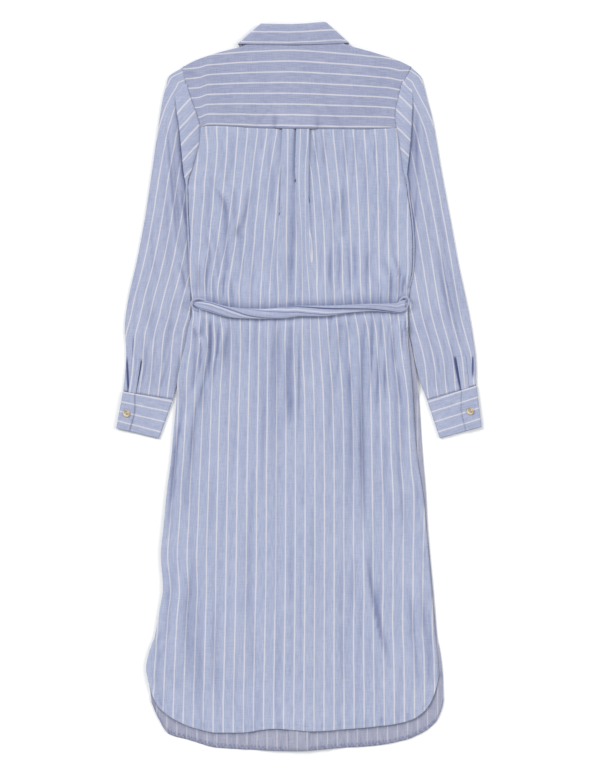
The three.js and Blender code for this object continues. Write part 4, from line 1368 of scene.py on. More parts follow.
@dataclass
class BackYoke(ClothPiece):
    """The yoke, raised over the pleat at its seam, with its stripes across."""

    node = "back_yoke"
    slot = "yoke_cloth"
    fabrics = (Fabric.YOKE, Fabric.INSIDE)
    cut = Cut((0.38, 0.145), 0.055, 4, rests_on=FRONT_CLOTHS)
    columns: int = 110
    rows: int = 40
    seam_drop: float = 135.0
    pleat_centre: float = -5.0
    pleat_half_width: float = 23.0
    bow: dict[str, Array] = field(default_factory=lambda: table(
        "column first eighth",
        (182, 59.4, 128.6), (199, 58.0, 127.4), (208, 55.5, 124.2), (222, 54.2, 124.3), (250, 52.3, 125.2),
        (290, 50.9, 126.2), (330, 53.2, 126.7), (369, 56.6, 127.0), (388, 58.6, 127.2), (400, 61.0, 128.8),
    ))
    wrinkles: Folds = field(default_factory=lambda: Folds(table(
        FOLD_NAMES,
        (-180, 34, -150, 52, -96, 60, 0.8, 6, 5), (54, 44, 100, 50, 146, 60, 0.7, 7, 5),
        (-120, 70, -100, 96, -96, 128, 0.5, 9, 6), (110, 74, 96, 98, 92, 128, 0.5, 7, 9),
        (-40, 40, -44, 80, -36, 120, 0.4, 10, 8),
    )))

    def height(self, x: Array, drop: Array) -> Array:
        """Finds the height of the yoke's cloth.

        Args:
            x: Places across.
            drop: Places down.

        Returns:
            The height at each place.
        """
        to_seam = yoke_seam(x) - drop
        pleat = PLEAT_RISE * plateau(x - self.pleat_centre, self.pleat_half_width, 14)
        pleat = pleat * plateau(to_seam, 4, 34)
        folded = 0.9 * np.exp(-(((to_seam - 1.6) / 2.2) ** 2))
        soft = 0.25 + 0.22 * ripple(x, drop, 21, 60, 1.3)
        return back_middle(x, drop) + pleat + folded + soft + self.wrinkles.height(x, drop)

    def surface(self) -> tuple[Array, Array]:
        """Works out the yoke's middle points and stripe places.

        Returns:
            The grid of points and the grid of places on the flat cloth.
        """
        place = np.linspace(0, 1, self.columns + 1)[None, :]
        share = np.linspace(0, 1, self.rows + 1)[:, None]
        top = yoke_top(mix(yoke_top.xs[0], yoke_top.xs[-1], place))
        seam = yoke_seam(mix(left_edge(self.seam_drop), right_edge(self.seam_drop), place)) + SEAM_LAP
        drop = mix(top, seam, share)
        x = mix(left_edge(drop) - SEAM_LAP, right_edge(drop) + SEAM_LAP, place)
        first, eighth = (curve(self.bow, name)(column_of(x)) for name in ("first", "eighth"))
        number = 7 * (row_of(drop) - first) / (eighth - first)
        return stack(x, drop, self.height(x, drop)), pair(number * PITCH, x)


@dataclass
class FrontPanel(SidedPiece):
    """One front, its right side down: its inside shows below the back hem."""

    side: Side
    stem = "front"
    fabrics = (Fabric.INSIDE, Fabric.BODY)
    cut = Cut((0.25, 1.17), 0.29, rests_on=("belt_cloth",))
    columns: int = 150
    rows: int = 150
    inner_edge: float = BAND_HALF_WIDTH + 0.3
    neck_reach: float = 66.0
    top_drop: float = 36.0
    bottom_drop: float = 1084.0

    def edge(self, drop: Array) -> Array:
        """Gives the X of the panel's side edge."""
        return left_edge(drop) if self.side is Side.LEFT else front_right_edge(drop)

    def surface(self) -> tuple[Array, Array]:
        """Works out the panel's middle points and stripe places.

        Returns:
            The grid of points and the grid of places on the flat cloth.
        """
        inner = self.side.sign * self.inner_edge
        share = np.linspace(0, 1, self.columns + 1)[None, :]
        if self.side is Side.RIGHT:
            share = share[:, ::-1]
        top_x = mix(self.edge(self.top_drop), inner, share)
        top = np.where(np.abs(top_x) < self.neck_reach, front_neck(np.abs(top_x)), yoke_top(top_x))
        bottom = front_hem(mix(self.edge(self.bottom_drop), inner, share))
        down_share = (1 - (1 - np.linspace(0, 1, self.rows + 1)) ** 1.25)[:, None]
        drop = mix(top, bottom, down_share)
        x = mix(self.edge(drop), inner, share)
        waves = 0.35 * ripple(x, drop, 31, 42, 8) * smooth_step(drop, 480, 640)
        z = front_middle(x, drop) + np.maximum(waves, -0.25) + pucker(bottom - drop, x, 0.6, 13)
        z = np.maximum(z + FRONT_CREASES.height(x, drop), CLOTH / 2 + 0.05)
        return stack(x, drop, z), pair(x + 3.0, drop)

    def wear_and_painted_shade(self, middle: Array) -> Array:
        """Adds painted shade along the rolled hem and a painted shadow under the back's hem to the painted
        shade in the creases.

        Args:
            middle: The panel's middle points.

        Returns:
            A painted shade value for each point.
        """
        x, drop = middle[..., 0], middle[..., 1]
        to_hem = front_hem(x) - drop
        # Painted shade in diagonal bands along the rolled hem, and a painted shadow under the back's hem.
        rolled = 0.62 + 0.5 * np.sin(0.9 * x + 0.7 * to_hem + 2.2 * ripple(x, drop, 61, 22, 2))
        shadow = 0.6 * np.exp(-(((drop - back_hem(x)) / 4.5) ** 2))
        shade = crease_shade(middle) + rolled * (1 - smooth_step(to_hem, 5, 6.5)) + shadow
        return np.clip(shade, 0, 1)


@dataclass
class ButtonBand(ClothPiece):
    """One of the two bands that lie over each other at the centre front."""

    node: str
    level: float
    fabrics = (Fabric.INSIDE, Fabric.BODY)
    thickness = 0.8
    columns: int = 12
    rows: int = 150
    reach: float = BAND_HALF_WIDTH + 0.8

    def surface(self) -> tuple[Array, Array]:
        """Works out the band's middle points and stripe places.

        Returns:
            The grid of points and the grid of places on the flat cloth.
        """
        x = self.reach * np.sin(np.linspace(-1, 1, self.columns + 1) * np.pi / 2)[None, :]
        share = np.linspace(0, 1, self.rows + 1)[:, None]
        drop = mix(FRONT_NECK_DROP, front_hem(x), share)
        sewn = 0.12 * np.exp(-(((np.abs(x) - 15) / 1.5) ** 2))
        level = self.level * (1 - 0.7 * smooth_step(np.abs(x), self.reach - 3, self.reach))
        z = front_middle(x, drop) + level + 0.1 * ripple(x, drop, 5, 30, 3) - sewn
        return stack(x, drop, z), pair(x + 3.0, drop)


def smooth_path(points: Sequence[Sequence[float]]) -> Line:
    """Draws a smooth path through points, read by share of its length.

    Args:
        points: X and drop of each point.

    Returns:
        A function from shares to points.
    """
    p = np.asarray(points, float)
    p = np.concatenate((p[:1] * 2 - p[1:2], p, p[-1:] * 2 - p[-2:-1]))
    t = np.linspace(0, 1, 25)[:-1, None]
    spans = []
    for a, b, c, d in zip(p[:-3], p[1:-2], p[2:-1], p[3:]):
        squared, cubed = 2 * a - 5 * b + 4 * c - d, 3 * b - a - 3 * c + d
        spans.append(0.5 * (2 * b + (c - a) * t + squared * t**2 + cubed * t**3))
    dense = np.concatenate((*spans, p[-2:-1]))
    lengths = lengths_along(np.linalg.norm(np.diff(dense, axis=0), axis=1))
    lengths /= lengths[-1]

    def read(share: Array) -> Array:
        """Reads the path."""
        s = np.clip(share, 0, 1)
        return np.stack([np.interp(s, lengths, column) for column in dense.T], axis=-1)

    return read


@dataclass
class SleeveShape:
    """Outline of one sleeve, its folds and the run of its stripes."""

    side: Side
    outer: Sequence[Sequence[float]]
    inner: Sequence[Sequence[float]]
    shoulder: float
    folds: Folds
    creases: Folds
    stripe_start: dict[str, Array]
    flap: dict[str, Array]
    flap_stripes: tuple[float, float, float, float]
    placket: tuple[float, float]
    slits: dict[str, Array]
    underarm: float = 228.6
    pace: float = 1.6

    def __post_init__(self) -> None:
        """Draws the four sides of the sleeve."""
        out = self.side.sign * SEAM_LAP
        edge = left_edge if self.side is Side.LEFT else right_edge
        drops = np.linspace(self.shoulder, self.underarm, 13)
        self.top_line = smooth_path(pair(edge(drops) + out, drops))
        self.outer_line = smooth_path(self.outer)
        self.inner_line = smooth_path(self.inner)

    def patch(self, u: Array, v: Array) -> Array:
        """Places points by their shares of the sleeve.

        Args:
            u: Share across, from the outer edge.
            v: Share along, from the shoulder to the cuff.

        Returns:
            X and drop of each point.
        """
        u, v = np.broadcast_arrays(np.asarray(u, float), np.asarray(v, float))
        a, b = u[..., None], v[..., None]
        cuff_start, cuff_end = self.outer_line(np.float64(1)), self.inner_line(np.float64(1))
        cuff = mix(cuff_start, cuff_end, a)
        ends = mix(self.top_line(u), cuff, b)
        sides = mix(self.outer_line(v), self.inner_line(v**self.pace), a)
        corners = mix(mix(self.top_line(np.float64(0)), self.top_line(np.float64(1)), a), cuff, b)
        return ends + sides - corners

    def upper(self, u: Array, v: Array) -> Array:
        """Finds the height of the sleeve's upper face.

        Args:
            u: Share across.
            v: Share along.

        Returns:
            The height at each point.
        """
        place = self.patch(u, v)
        x, drop = place[..., 0], place[..., 1]
        edge = np.minimum(u, 1 - u) / 0.12
        raised = self.folds.height(x, drop) + self.creases.height(x, drop) + 0.3 * ripple(x, drop, 41, 26, 5)
        gathered = 0.8 * ripple(u * 60, v * 8, 43, 9, 40) * smooth_step(v, 0.8, 0.97)
        top = 2.6 + (raised + gathered) * smooth_step(edge, 0.5, 1.9)
        lifted = mix(2.0, np.maximum(top, 1.7), smooth_step(edge, 0, 1))
        return mix(lifted, np.minimum(lifted, 2.5), smooth_step(v, 0.94, 1))

    def stripe_number(self, place: Array) -> Array:
        """Numbers the stripes by distance from the outer edge.

        Args:
            place: X and drop of each point.

        Returns:
            A stripe number for each point.
        """
        edge = self.outer_line(np.linspace(0, 1, 260))
        flat = place.reshape(-1, 2)
        near = np.sqrt(((flat[:, None, :] - edge[None, :, :]) ** 2).sum(axis=2)).min(axis=1)
        near = near.reshape(place.shape[:-1])
        return near / (9.4 * PIXEL) + curve(self.stripe_start, "start")(row_of(place[..., 1]))


LEFT_SLEEVE = SleeveShape(
    side=Side.LEFT,
    outer=((-191.4, 37), (-212.8, 50.3), (-218.6, 67), (-224.4, 90), (-231, 129.5), (-241.7, 205.4),
           (-254.1, 288), (-267.3, 357.2), (-278.8, 406.7), (-285.4, 446.3), (-287, 472.7), (-284.8, 499),
           (-285.4, 529), (-289.6, 571)),
    inner=((-184, 228.6), (-184, 242), (-182, 255), (-177.6, 276), (-175, 300), (-174.5, 332), (-174.6, 362),
           (-177.6, 392), (-178.5, 410), (-178.5, 440), (-178.6, 460), (-181, 489), (-188.5, 516),
           (-202.2, 562), (-208.2, 584.2)),
    shoulder=37,
    folds=Folds(table(
        FOLD_NAMES,
        (-216, 120, -208, 250, -190, 400, 3.0, 10, 5), (-236, 250, -232, 340, -206, 440, 2.6, 8, 11),
        (-262, 350, -258, 430, -246, 520, 2.6, 12, 8), (-214, 400, -222, 470, -240, 560, 2.6, 12, 6),
    )),
    creases=Folds(table(
        FOLD_NAMES,
        (-218, 140, -208, 230, -199, 350, 1.6, 8, 3), (-284, 508, -283, 540, -281, 572, -1.3, 2.4, 2.4),
        (-260, 516, -267, 548, -271, 572, -1.6, 2.6, 2.2), (-273, 470, -274, 500, -274, 530, 1.5, 3, 2.2),
        (-240, 480, -246, 530, -252, 580, 1.3, 5, 3), (-226, 500, -232, 545, -236, 584, 1.2, 3, 5),
        (-270, 430, -266, 470, -262, 520, 1.0, 7, 4), (-250, 200, -252, 260, -262, 330, 0.9, 9, 6),
        (-210, 350, -196, 400, -192, 450, 1.3, 7, 4), (-228, 60, -226, 90, -222, 130, 0.9, 6, 8),
    )),
    stripe_start=table("row start", (60, -1.6), (85, -1.1), (111, -0.35), (136, 0), (187, 0.2), (250, 0.23),
                       (314, 0.46), (352, 1.2), (388, 1.3)),
    flap=table("row column", (84, 175), (93, 175.4), (102, 176.2), (113.6, 177.5), (124.3, 179.3),
               (140.4, 181), (160, 182.9), (170, 183.8), (185, 186.4), (199, 189), (228, 190.2),
               (248, 190.4), (267, 191), (279, 192)),
    flap_stripes=(178.4, 112.7, 0.746, 0.666),
    placket=(0.1, 0.25),
    slits=table(
        "row0 column0 row1 column1 width depth lean",
        (356, 126.8, 393, 128.6, 1.7, 2.5, 1.1), (360, 141.6, 394, 134.2, 2.1, 2.7, 1.0),
        (336, 133.4, 358, 133.0, 1.1, 0.9, 1.0), (128, 167.0, 250, 178.0, 2.4, 0.9, 1.0),
        (262, 180.0, 290, 186.0, 3.0, 0.7, 1.0), (190, 181.0, 226, 187.0, 3.4, 0.7, 1.0),
    ),
)
RIGHT_SLEEVE = SleeveShape(
    side=Side.RIGHT,
    outer=((184.8, 36.5), (199.6, 50.3), (204.6, 63.5), (211.2, 90), (221.1, 129.5), (234.3, 208.7),
           (249.1, 288), (261.5, 357.2), (272.2, 406.7), (280.5, 446.3), (287.1, 486), (291.2, 519),
           (292.1, 561.5)),
    inner=((177.8, 228.6), (179, 244), (179.4, 258), (180.2, 280), (182, 332), (182, 366), (181.9, 392),
           (181.6, 410), (181.4, 440), (181.4, 466), (183, 480), (185.6, 494), (190.5, 520), (199, 552),
           (211.7, 585.2)),
    shoulder=36.5,
    folds=Folds(table(
        FOLD_NAMES,
        (196, 100, 204, 230, 196, 380, 3.0, 5, 10), (228, 300, 240, 370, 262, 490, 3.4, 5, 10),
        (214, 180, 226, 290, 238, 360, 2.2, 11, 7), (206, 420, 226, 490, 250, 560, 2.6, 8, 12),
    )),
    creases=Folds(table(
        FOLD_NAMES,
        (195, 236, 193, 262, 187, 320, 1.4, 3, 7), (230, 334, 243, 400, 266, 492, 1.5, 3, 8),
        (258, 512, 264, 540, 267, 566, -1.6, 2.4, 2.4), (286, 512, 287, 530, 288, 548, -1.2, 2.4, 2.4),
        (226, 480, 234, 530, 240, 580, 1.2, 3, 5), (246, 480, 250, 530, 252, 576, 1.2, 5, 3),
        (274, 440, 277, 490, 280, 540, 1.1, 5, 4), (206, 180, 212, 240, 222, 320, 0.9, 7, 9),
        (200, 400, 212, 440, 226, 500, 1.2, 4, 7), (196, 60, 206, 90, 214, 130, 0.8, 8, 6),
    )),
    stripe_start=table("row start", (60, -1.5), (85, -1.0), (111, -0.3), (136, 0.1), (187, 0.36), (250, 0.36),
                       (314, 0.1), (352, 0.5), (388, 0.8)),
    flap=table("row column", (80, 411), (96, 412), (125, 411), (152, 409), (178, 406.6), (203, 408),
               (228, 411), (250, 411.7), (279, 410.4), (296, 405.5)),
    flap_stripes=(403.9, 83.6, -0.7, 0.7),
    placket=(0.15, 0.3),
    slits=table(
        "row0 column0 row1 column1 width depth lean",
        (356, 454.6, 391, 461.0, 2.0, 2.5, 1.0), (356, 472.6, 378, 472.8, 1.5, 2.0, 0.8),
        (246, 438.0, 345, 460.0, 2.2, 0.7, 1.0), (186, 417.0, 236, 413.0, 2.4, 0.7, 1.0),
        (262, 412.0, 296, 406.0, 3.0, 0.7, 1.0), (107, 417.0, 188, 416.0, 3.6, 0.55, 1.0),
    ),
)


class SleevePiece(SidedPiece):
    """A piece that follows a sleeve's shape."""

    shape: SleeveShape

    @property
    def side(self) -> Side:
        """Names the side that the sleeve lies on."""
        return self.shape.side


@dataclass
class Sleeve(SleevePiece):
    """One sleeve: a flattened tube, with a fold of its cap turned over on top."""

    shape: SleeveShape
    stem = "sleeve"
    cut = Cut((0.32, 0.6), 0.19, held="folded")
    upper_columns: int = 64
    lower_columns: int = 20
    rows: int = 150

    def ring(self) -> tuple[Array, Array]:
        """Goes round the sleeve.

        Returns:
            Each column's share across the sleeve, and 1 where it is on the upper face.
        """
        upper = 0.5 - 0.5 * np.cos(np.pi * np.linspace(0, 1, self.upper_columns + 1))
        upper = mix(np.linspace(0, 1, self.upper_columns + 1), upper, 0.35)
        lower = np.linspace(1, 0, self.lower_columns + 1)
        share = np.concatenate((upper, lower, upper[:1]))
        face = np.concatenate((np.ones(len(upper)), np.zeros(len(lower)), np.ones(1)))
        if self.side is Side.RIGHT:
            return 1 - share, face
        return share, face

    def surface(self) -> tuple[Array, Array]:
        """Works out the sleeve's middle points and stripe places.

        Returns:
            The grid of points and the grid of places on the flat cloth.
        """
        share, face = self.ring()
        v = (np.linspace(0, 1, self.rows + 1) * 0.999)[:, None]
        u = np.broadcast_to(share[None, :], (self.rows + 1, len(share)))
        v = np.broadcast_to(v, u.shape)
        place = self.shape.patch(u, v)
        top = self.shape.upper(u, v) - 0.35
        low = 0.3 + 0.5 * (1 - smooth_step(np.minimum(u, 1 - u), 0, 0.05))
        z = np.where(face[None, :] > 0.5, top, low)
        number = self.shape.stripe_number(place)
        number = np.where(face[None, :] > 0.5, number, -number)
        return stack(place[..., 0], place[..., 1], z), pair(number * PITCH, place[..., 1])

    def find_dents_and_painted_shade(self, points: Array) -> Array:
        """Finds how near each point lies to a slit, a tuck or the edge of the fold, for dents in the cloth and
        for painted shade.

        Args:
            points: The sleeve's middle points.

        Returns:
            A value for each point, which sets how far the cloth is pressed in and how much painted shade it
            gets.
        """
        shape = self.shape
        x, drop = points[..., 0], points[..., 1]
        dents_and_painted_shade = np.zeros(x.shape)
        s = shape.slits
        row = row_of(drop)
        for k in range(len(s["row0"])):
            share = (row - s["row0"][k]) / (s["row1"][k] - s["row0"][k])
            line = across(mix(s["column0"][k], s["column1"][k], share))
            taper = np.sin(np.pi * np.clip(share, 0, 1) ** s["lean"][k]) ** 0.5
            dents_and_painted_shade += s["depth"][k] * taper * np.exp(-(((x - line) / s["width"][k]) ** 2))
        # Painted shadow on the sleeve next to the edge of the fold on top, and a painted dark line along that
        # edge.
        outside = self.side.sign * (x - across(curve(shape.flap, "column")(row)))
        near = np.exp(-((np.clip(outside, 0, None) / 8.5) ** 2)) * (outside > -2)
        shown = smooth_step(row, 104, 160) * (1 - smooth_step(row, 235, 290))
        _, face = self.ring()
        painted_fold_shade = np.exp(-((outside / 1.7) ** 2)) * smooth_step(row, 92, 118) * (1 - smooth_step(row, 215, 250))
        return (dents_and_painted_shade + 0.95 * near * shown + 1.1 * painted_fold_shade) * (face[None, :] > 0.5)

    def flap(self) -> tuple[Array, Array]:
        """Works out the fold of the cap that lies on top beside the armhole.

        Returns:
            The grid of points and the grid of places on the flat cloth.
        """
        shape = self.shape
        rows = shape.flap["row"]
        row = np.linspace(rows[0], rows[-1], 90)[:, None]
        drop = down(row)
        sign = self.side.sign
        body = left_edge(drop) if self.side is Side.LEFT else right_edge(drop)
        fold_x = across(curve(shape.flap, "column")(row))
        fold_x = np.where(sign * fold_x > sign * body + 3, fold_x, body + sign * 3)
        share = np.linspace(0, 1, 14)[None, :]
        at_armhole = 1 - smooth_step(drop, 200, 226)
        x = mix(body + sign * mix(0.5, -1.4, at_armhole), fold_x, share)
        width = np.abs(fold_x - body)
        ends = np.sin(np.pi * np.clip((row - rows[0]) / (rows[-1] - rows[0]), 0, 1)) ** 0.45
        crown = np.sin(np.pi * np.clip(share * 0.86, 0, 1)) ** 0.6 * np.clip(width / 18, 0.35, 1)
        risen = smooth_step(row + 16 * (1 - share), rows[0], rows[0] + 28)
        top = 1.2 + 1.85 * risen + 3.6 * ends * risen * crown
        top = top + 0.3 * ripple(x, np.broadcast_to(drop, x.shape), 83, 20, 1.5) * share
        turn_x = (0.6, 0.7, 0.2, -2.5, -5.5)
        turn_z = (-0.5, -1.0, -1.5, -1.7, -1.8)
        xs = np.concatenate((x, *[fold_x + sign * aside for aside in turn_x]), axis=1)
        zs = np.concatenate((top, *[top[:, -1:] + fall * ends for fall in turn_z]), axis=1)
        drops = np.broadcast_to(drop, xs.shape)
        column0, row0, along_x, along_y = shape.flap_stripes
        away = (column_of(xs) - column0) * along_x + (np.broadcast_to(row, xs.shape) - row0) * along_y
        number = np.minimum(np.where(away > 0, away / 11.9, away / 17), 4.5)
        points, flat = stack(xs, drops, zs), pair(number * PITCH, drops)
        if sign < 0:
            return points[:, ::-1], flat[:, ::-1]
        return points, flat

    def shell(self, finishes: Finishes, middle: Array, flat: Array) -> bpy.types.Object:
        """Makes the sleeve with its slits pressed in and its fold on top.

        Args:
            finishes: The dress's materials.
            middle: Its grid of middle points, which the slits lower.
            flat: Its grid of places on the flat cloth.

        Returns:
            The piece, with its materials.
        """
        dents_and_painted_shade = self.find_dents_and_painted_shade(middle)
        middle[..., 2] -= np.minimum(1.2 * np.clip(dents_and_painted_shade, 0, 1), np.maximum(middle[..., 2] - 1.3, 0))
        # Painted shade in the creases, slits and tucks and next to the fold on top.
        wear_and_painted_shade = crease_shade(middle) * 0.9 + dents_and_painted_shade
        piece = cloth_shell(f"{self.node}_cloth", middle, flat, wear_and_painted_shade=wear_and_painted_shade)
        fold = cloth_shell(f"{self.node}_fold", *self.flap())
        for item in (piece, fold):
            finishes.dress(item, *self.fabrics)
        with bpy.context.temp_override(active_object=piece, selected_editable_objects=[piece, fold]):
            bpy.ops.object.join()
        return piece


@dataclass
class SleevePlacket(SleevePiece):
    """Strip that binds the slit above the cuff, with a shallow slit down its middle."""

    shape: SleeveShape
    stem = "sleeve_placket"
    thickness = 0.6
    slit_width: float = 0.014

    def surface(self) -> tuple[Array, Array]:
        """Works out the strip's middle points and stripe places.

        Returns:
            The grid of points and the grid of places on the flat cloth.
        """
        start, end = self.shape.placket
        share = np.linspace(start, end, 15)[None, :]
        if self.side is Side.RIGHT:
            share = share[:, ::-1]
        u, v = np.broadcast_arrays(share, np.linspace(0.9, 1.0, 30)[:, None])
        place = self.shape.patch(u, v)
        slit = 0.55 * np.exp(-(((u - (start + end) / 2) / self.slit_width) ** 2))
        sides = np.minimum(u - start, end - u) / (end - start)
        z = self.shape.upper(u, v) + 0.75 - slit - 0.4 * (1 - smooth_step(sides, 0, 0.12))
        number = self.shape.stripe_number(place)
        return stack(place[..., 0], place[..., 1], z), pair(number * PITCH, place[..., 1])


@dataclass
class Cuff(SidedPiece):
    """A strip wound once round, its buttoned end on top and its stripes round the wrist."""

    stem = "cuff"
    thickness = 0.8
    cut = Cut((0.21, 0.066), 0.0138, 4, "folded")
    side: Side
    outer_top: tuple[float, float]
    inner_top: tuple[float, float]
    outer_end: tuple[float, float]
    inner_end: tuple[float, float]
    overlap: tuple[float, float]
    rows: int = 30
    low: float = 0.5
    middle: float = 2.1
    high: float = 3.5
    turn: float = 0.017
    bulge: float = 0.045
    round_mm: float = 90.0

    def place(self, share: Array, along: Array) -> Array:
        """Places points by their shares of the cuff.

        Args:
            share: Share across.
            along: Share along, from the sleeve to the end.

        Returns:
            X and drop of each point.
        """
        a = np.asarray(share, float)[..., None]
        start = mix(np.array(self.outer_top), np.array(self.inner_top), a)
        end = mix(np.array(self.outer_end), np.array(self.inner_end), a)
        return mix(start, end, np.asarray(along, float)[..., None])

    def surface(self) -> tuple[Array, Array]:
        """Works out the strip's middle points and stripe places.

        Returns:
            The grid of points and the grid of places on the flat cloth.
        """
        along = np.linspace(0, 1, self.rows + 1)
        rows = []
        for t in along:
            overlap = float(mix(*self.overlap, t)) + self.bulge * math.sin(math.pi * t) ** 1.5
            stations = [(share, self.high) for share in np.linspace(overlap, self.turn, 14)]
            stations += [(0.004, self.high - 0.5), (0.0, (self.high + self.low) / 2), (0.004, self.low + 0.5)]
            stations += [(share, self.low) for share in np.linspace(self.turn, 1 - self.turn, 16)]
            stations += [(0.996, self.low + 0.4), (1.0, (self.middle + self.low) / 2)]
            stations += [(0.996, self.middle - 0.4)]
            stations += [(share, self.middle) for share in np.linspace(1 - self.turn, 0.06, 32)]
            rows.append(stations)
        grid = np.array(rows)
        share, z = grid[..., 0], grid[..., 1]
        t = np.broadcast_to(along[:, None], share.shape)
        place = self.place(share, mix(-0.015, 1, t))
        edge = np.minimum(t, 1 - t)
        soft = 0.35 * smooth_step(edge, 0, 0.1) - 0.22 * np.exp(-(((edge - 0.09) / 0.022) ** 2))
        lifted = z + np.where(z > 1.8, soft + 0.12 * ripple(place[..., 0], place[..., 1], 61, 16, 1.2), 0)
        number = t * 60 / 15.6 - 0.06 - 0.14 * share
        points = stack(place[..., 0], place[..., 1], lifted)
        flat = pair(number * PITCH, share * self.round_mm)
        if self.side is Side.LEFT:
            return points[:, ::-1], flat[:, ::-1]
        return points, flat


CUFFS = (
    Cuff(Side.LEFT, (-290, 571.9), (-208.3, 585), (-301, 631.6), (-231.3, 648.6), (0.23, 0.3)),
    Cuff(Side.RIGHT, (292.2, 562.3), (211.8, 586.1), (300.8, 629.5), (232.6, 648.1), (0.29, 0.37)),
)


def resample(rows: Array, parts: int) -> Array:
    """Divides the spans between a table's rows and rounds its corners.

    Args:
        rows: The table as an array.
        parts: How many parts each span has.

    Returns:
        The longer table.
    """
    places = np.arange(len(rows))
    fine = np.linspace(0, len(rows) - 1, (len(rows) - 1) * parts + 1)
    dense = np.stack([np.interp(fine, places, rows[:, k]) for k in range(rows.shape[1])], axis=-1)
    for _ in range(3):
        dense[1:-1] = (dense[:-2] + 2 * dense[1:-1] + dense[2:]) / 4
    return dense


COLLAR_NAMES = "fold_x fold_drop edge_x edge_drop fold_z edge_z"


@dataclass
class CollarPart(ClothPiece):
    """The leaf or the stand: stations from the left front, round the neck, to the right front."""

    node: str
    stations: dict[str, Array]
    rows: int
    rolled: float
    first_stripe: float
    thickness: float = 0.8
    cut: Cut | None = None
    turn_z: float = 3.8
    slot = "yoke_cloth"
    fabrics = (Fabric.YOKE, Fabric.YOKE)

    def surface(self) -> tuple[Array, Array]:
        """Works out the part's middle points and stripe places.

        Returns:
            The grid of points and the grid of places on the flat cloth.
        """
        s = resample(np.stack([self.stations[name] for name in COLLAR_NAMES.split()], axis=-1), 6).T
        t = np.linspace(0, 1, self.rows + 1)[:, None]
        x, drop, z = mix(s[0], s[2], t), mix(s[1], s[3], t), mix(s[4], s[5], t)
        depth = np.hypot(s[2] - s[0], s[3] - s[1])
        fall = mix(depth, np.abs(s[3] - s[1]), smooth_step(s[4], 2.4, 5.9))
        z = z + (self.turn_z - z) * self.rolled * np.exp(-((t * depth / 2.6) ** 2))
        face = np.sign(z - self.turn_z)
        crown = 0.5 * np.sin(np.pi * t) * face * (self.rolled > 0)
        sewn = -0.2 * np.exp(-((((1 - t) * depth - 5) / 1.2) ** 2)) * face * (self.rolled > 0)
        z = np.maximum(z + crown + sewn, 0.45)
        steps = np.hypot(np.diff(mix(s[0], s[2], 0.5)), np.diff(mix(s[1], s[3], 0.5)))
        number = t * fall / PITCH + self.first_stripe
        return stack(x, drop, z), pair(number * PITCH, lengths_along(steps)[None, :])


LEAF = CollarPart("collar", table(
    COLLAR_NAMES,
    (-5, 40, -50, 94, 0.7, 0.7), (-34, 24, -72, 66, 0.7, 0.7), (-51, -4, -90, 32, 0.7, 0.7),
    (-59, -26, -97, 6, 0.7, 0.7), (-62, -33.5, -99.5, -0.6, 1.7, 1.7), (-63.2, -34.9, -101, -2, 3.8, 3.8),
    (-62, -35, -99, -1.8, 5.9, 5.9), (-57, -34.8, -92, -1.2, 6.9, 6.9), (-35, -34.4, -56, -0.3, 6.9, 6.9),
    (-11.5, -34.2, -14, 0, 6.9, 6.9), (12, -35.2, 20, -0.4, 6.9, 6.9), (34, -37.2, 56, -1.6, 6.9, 6.9),
    (41.5, -37.8, 76, -3, 6.9, 6.9), (45, -36.9, 81, -3.4, 5.9, 5.9), (46.2, -36, 82.5, -3, 3.8, 3.8),
    (45.5, -34.5, 81.5, -1.6, 1.7, 1.7), (43, -27, 80, 6, 0.7, 0.7), (38, -4, 76, 32, 0.7, 0.7),
    (27, 24, 64, 66, 0.7, 0.7), (5, 40, 48, 94, 0.7, 0.7),
), rows=26, rolled=0.45, first_stripe=0.2, thickness=0.9,
    cut=Cut((0.62, 0.075), 0.0465, 4, "folded", ("back_yoke_cloth",)))
STAND = CollarPart("collar_stand", table(
    COLLAR_NAMES,
    (-1.5, 39, -1.5, 65.4, 2.1, 2.1), (-28, 26, -32, 55.5, 2.1, 2.1), (-45, -2, -52, 27, 2.1, 2.1),
    (-54.5, -26, -59, -4, 2.1, 2.1), (-57, -30.5, -61, -10, 3.5, 3.5), (-55, -32, -59, -11, 4.9, 4.9),
    (-35, -32.6, -38, -2.9, 4.9, 4.9), (-11.5, -32.4, -12, -0.7, 4.9, 4.9), (12, -33.2, 12, -1.2, 4.9, 4.9),
    (30, -34.5, 30, -4, 4.9, 4.9), (37, -34.8, 40, -8.5, 4.9, 4.9), (40, -33, 44, -11, 3.5, 3.5),
    (38, -26, 43, -4, 2.1, 2.1), (32, -2, 39, 27, 2.1, 2.1), (22, 26, 28, 55.5, 2.1, 2.1),
    (1.5, 39, 1.5, 65.4, 2.1, 2.1),
), rows=10, rolled=0.0, first_stripe=0.5, cut=Cut((0.42, 0.04), 0.0168, 4, "folded", ("back_yoke_cloth",)))


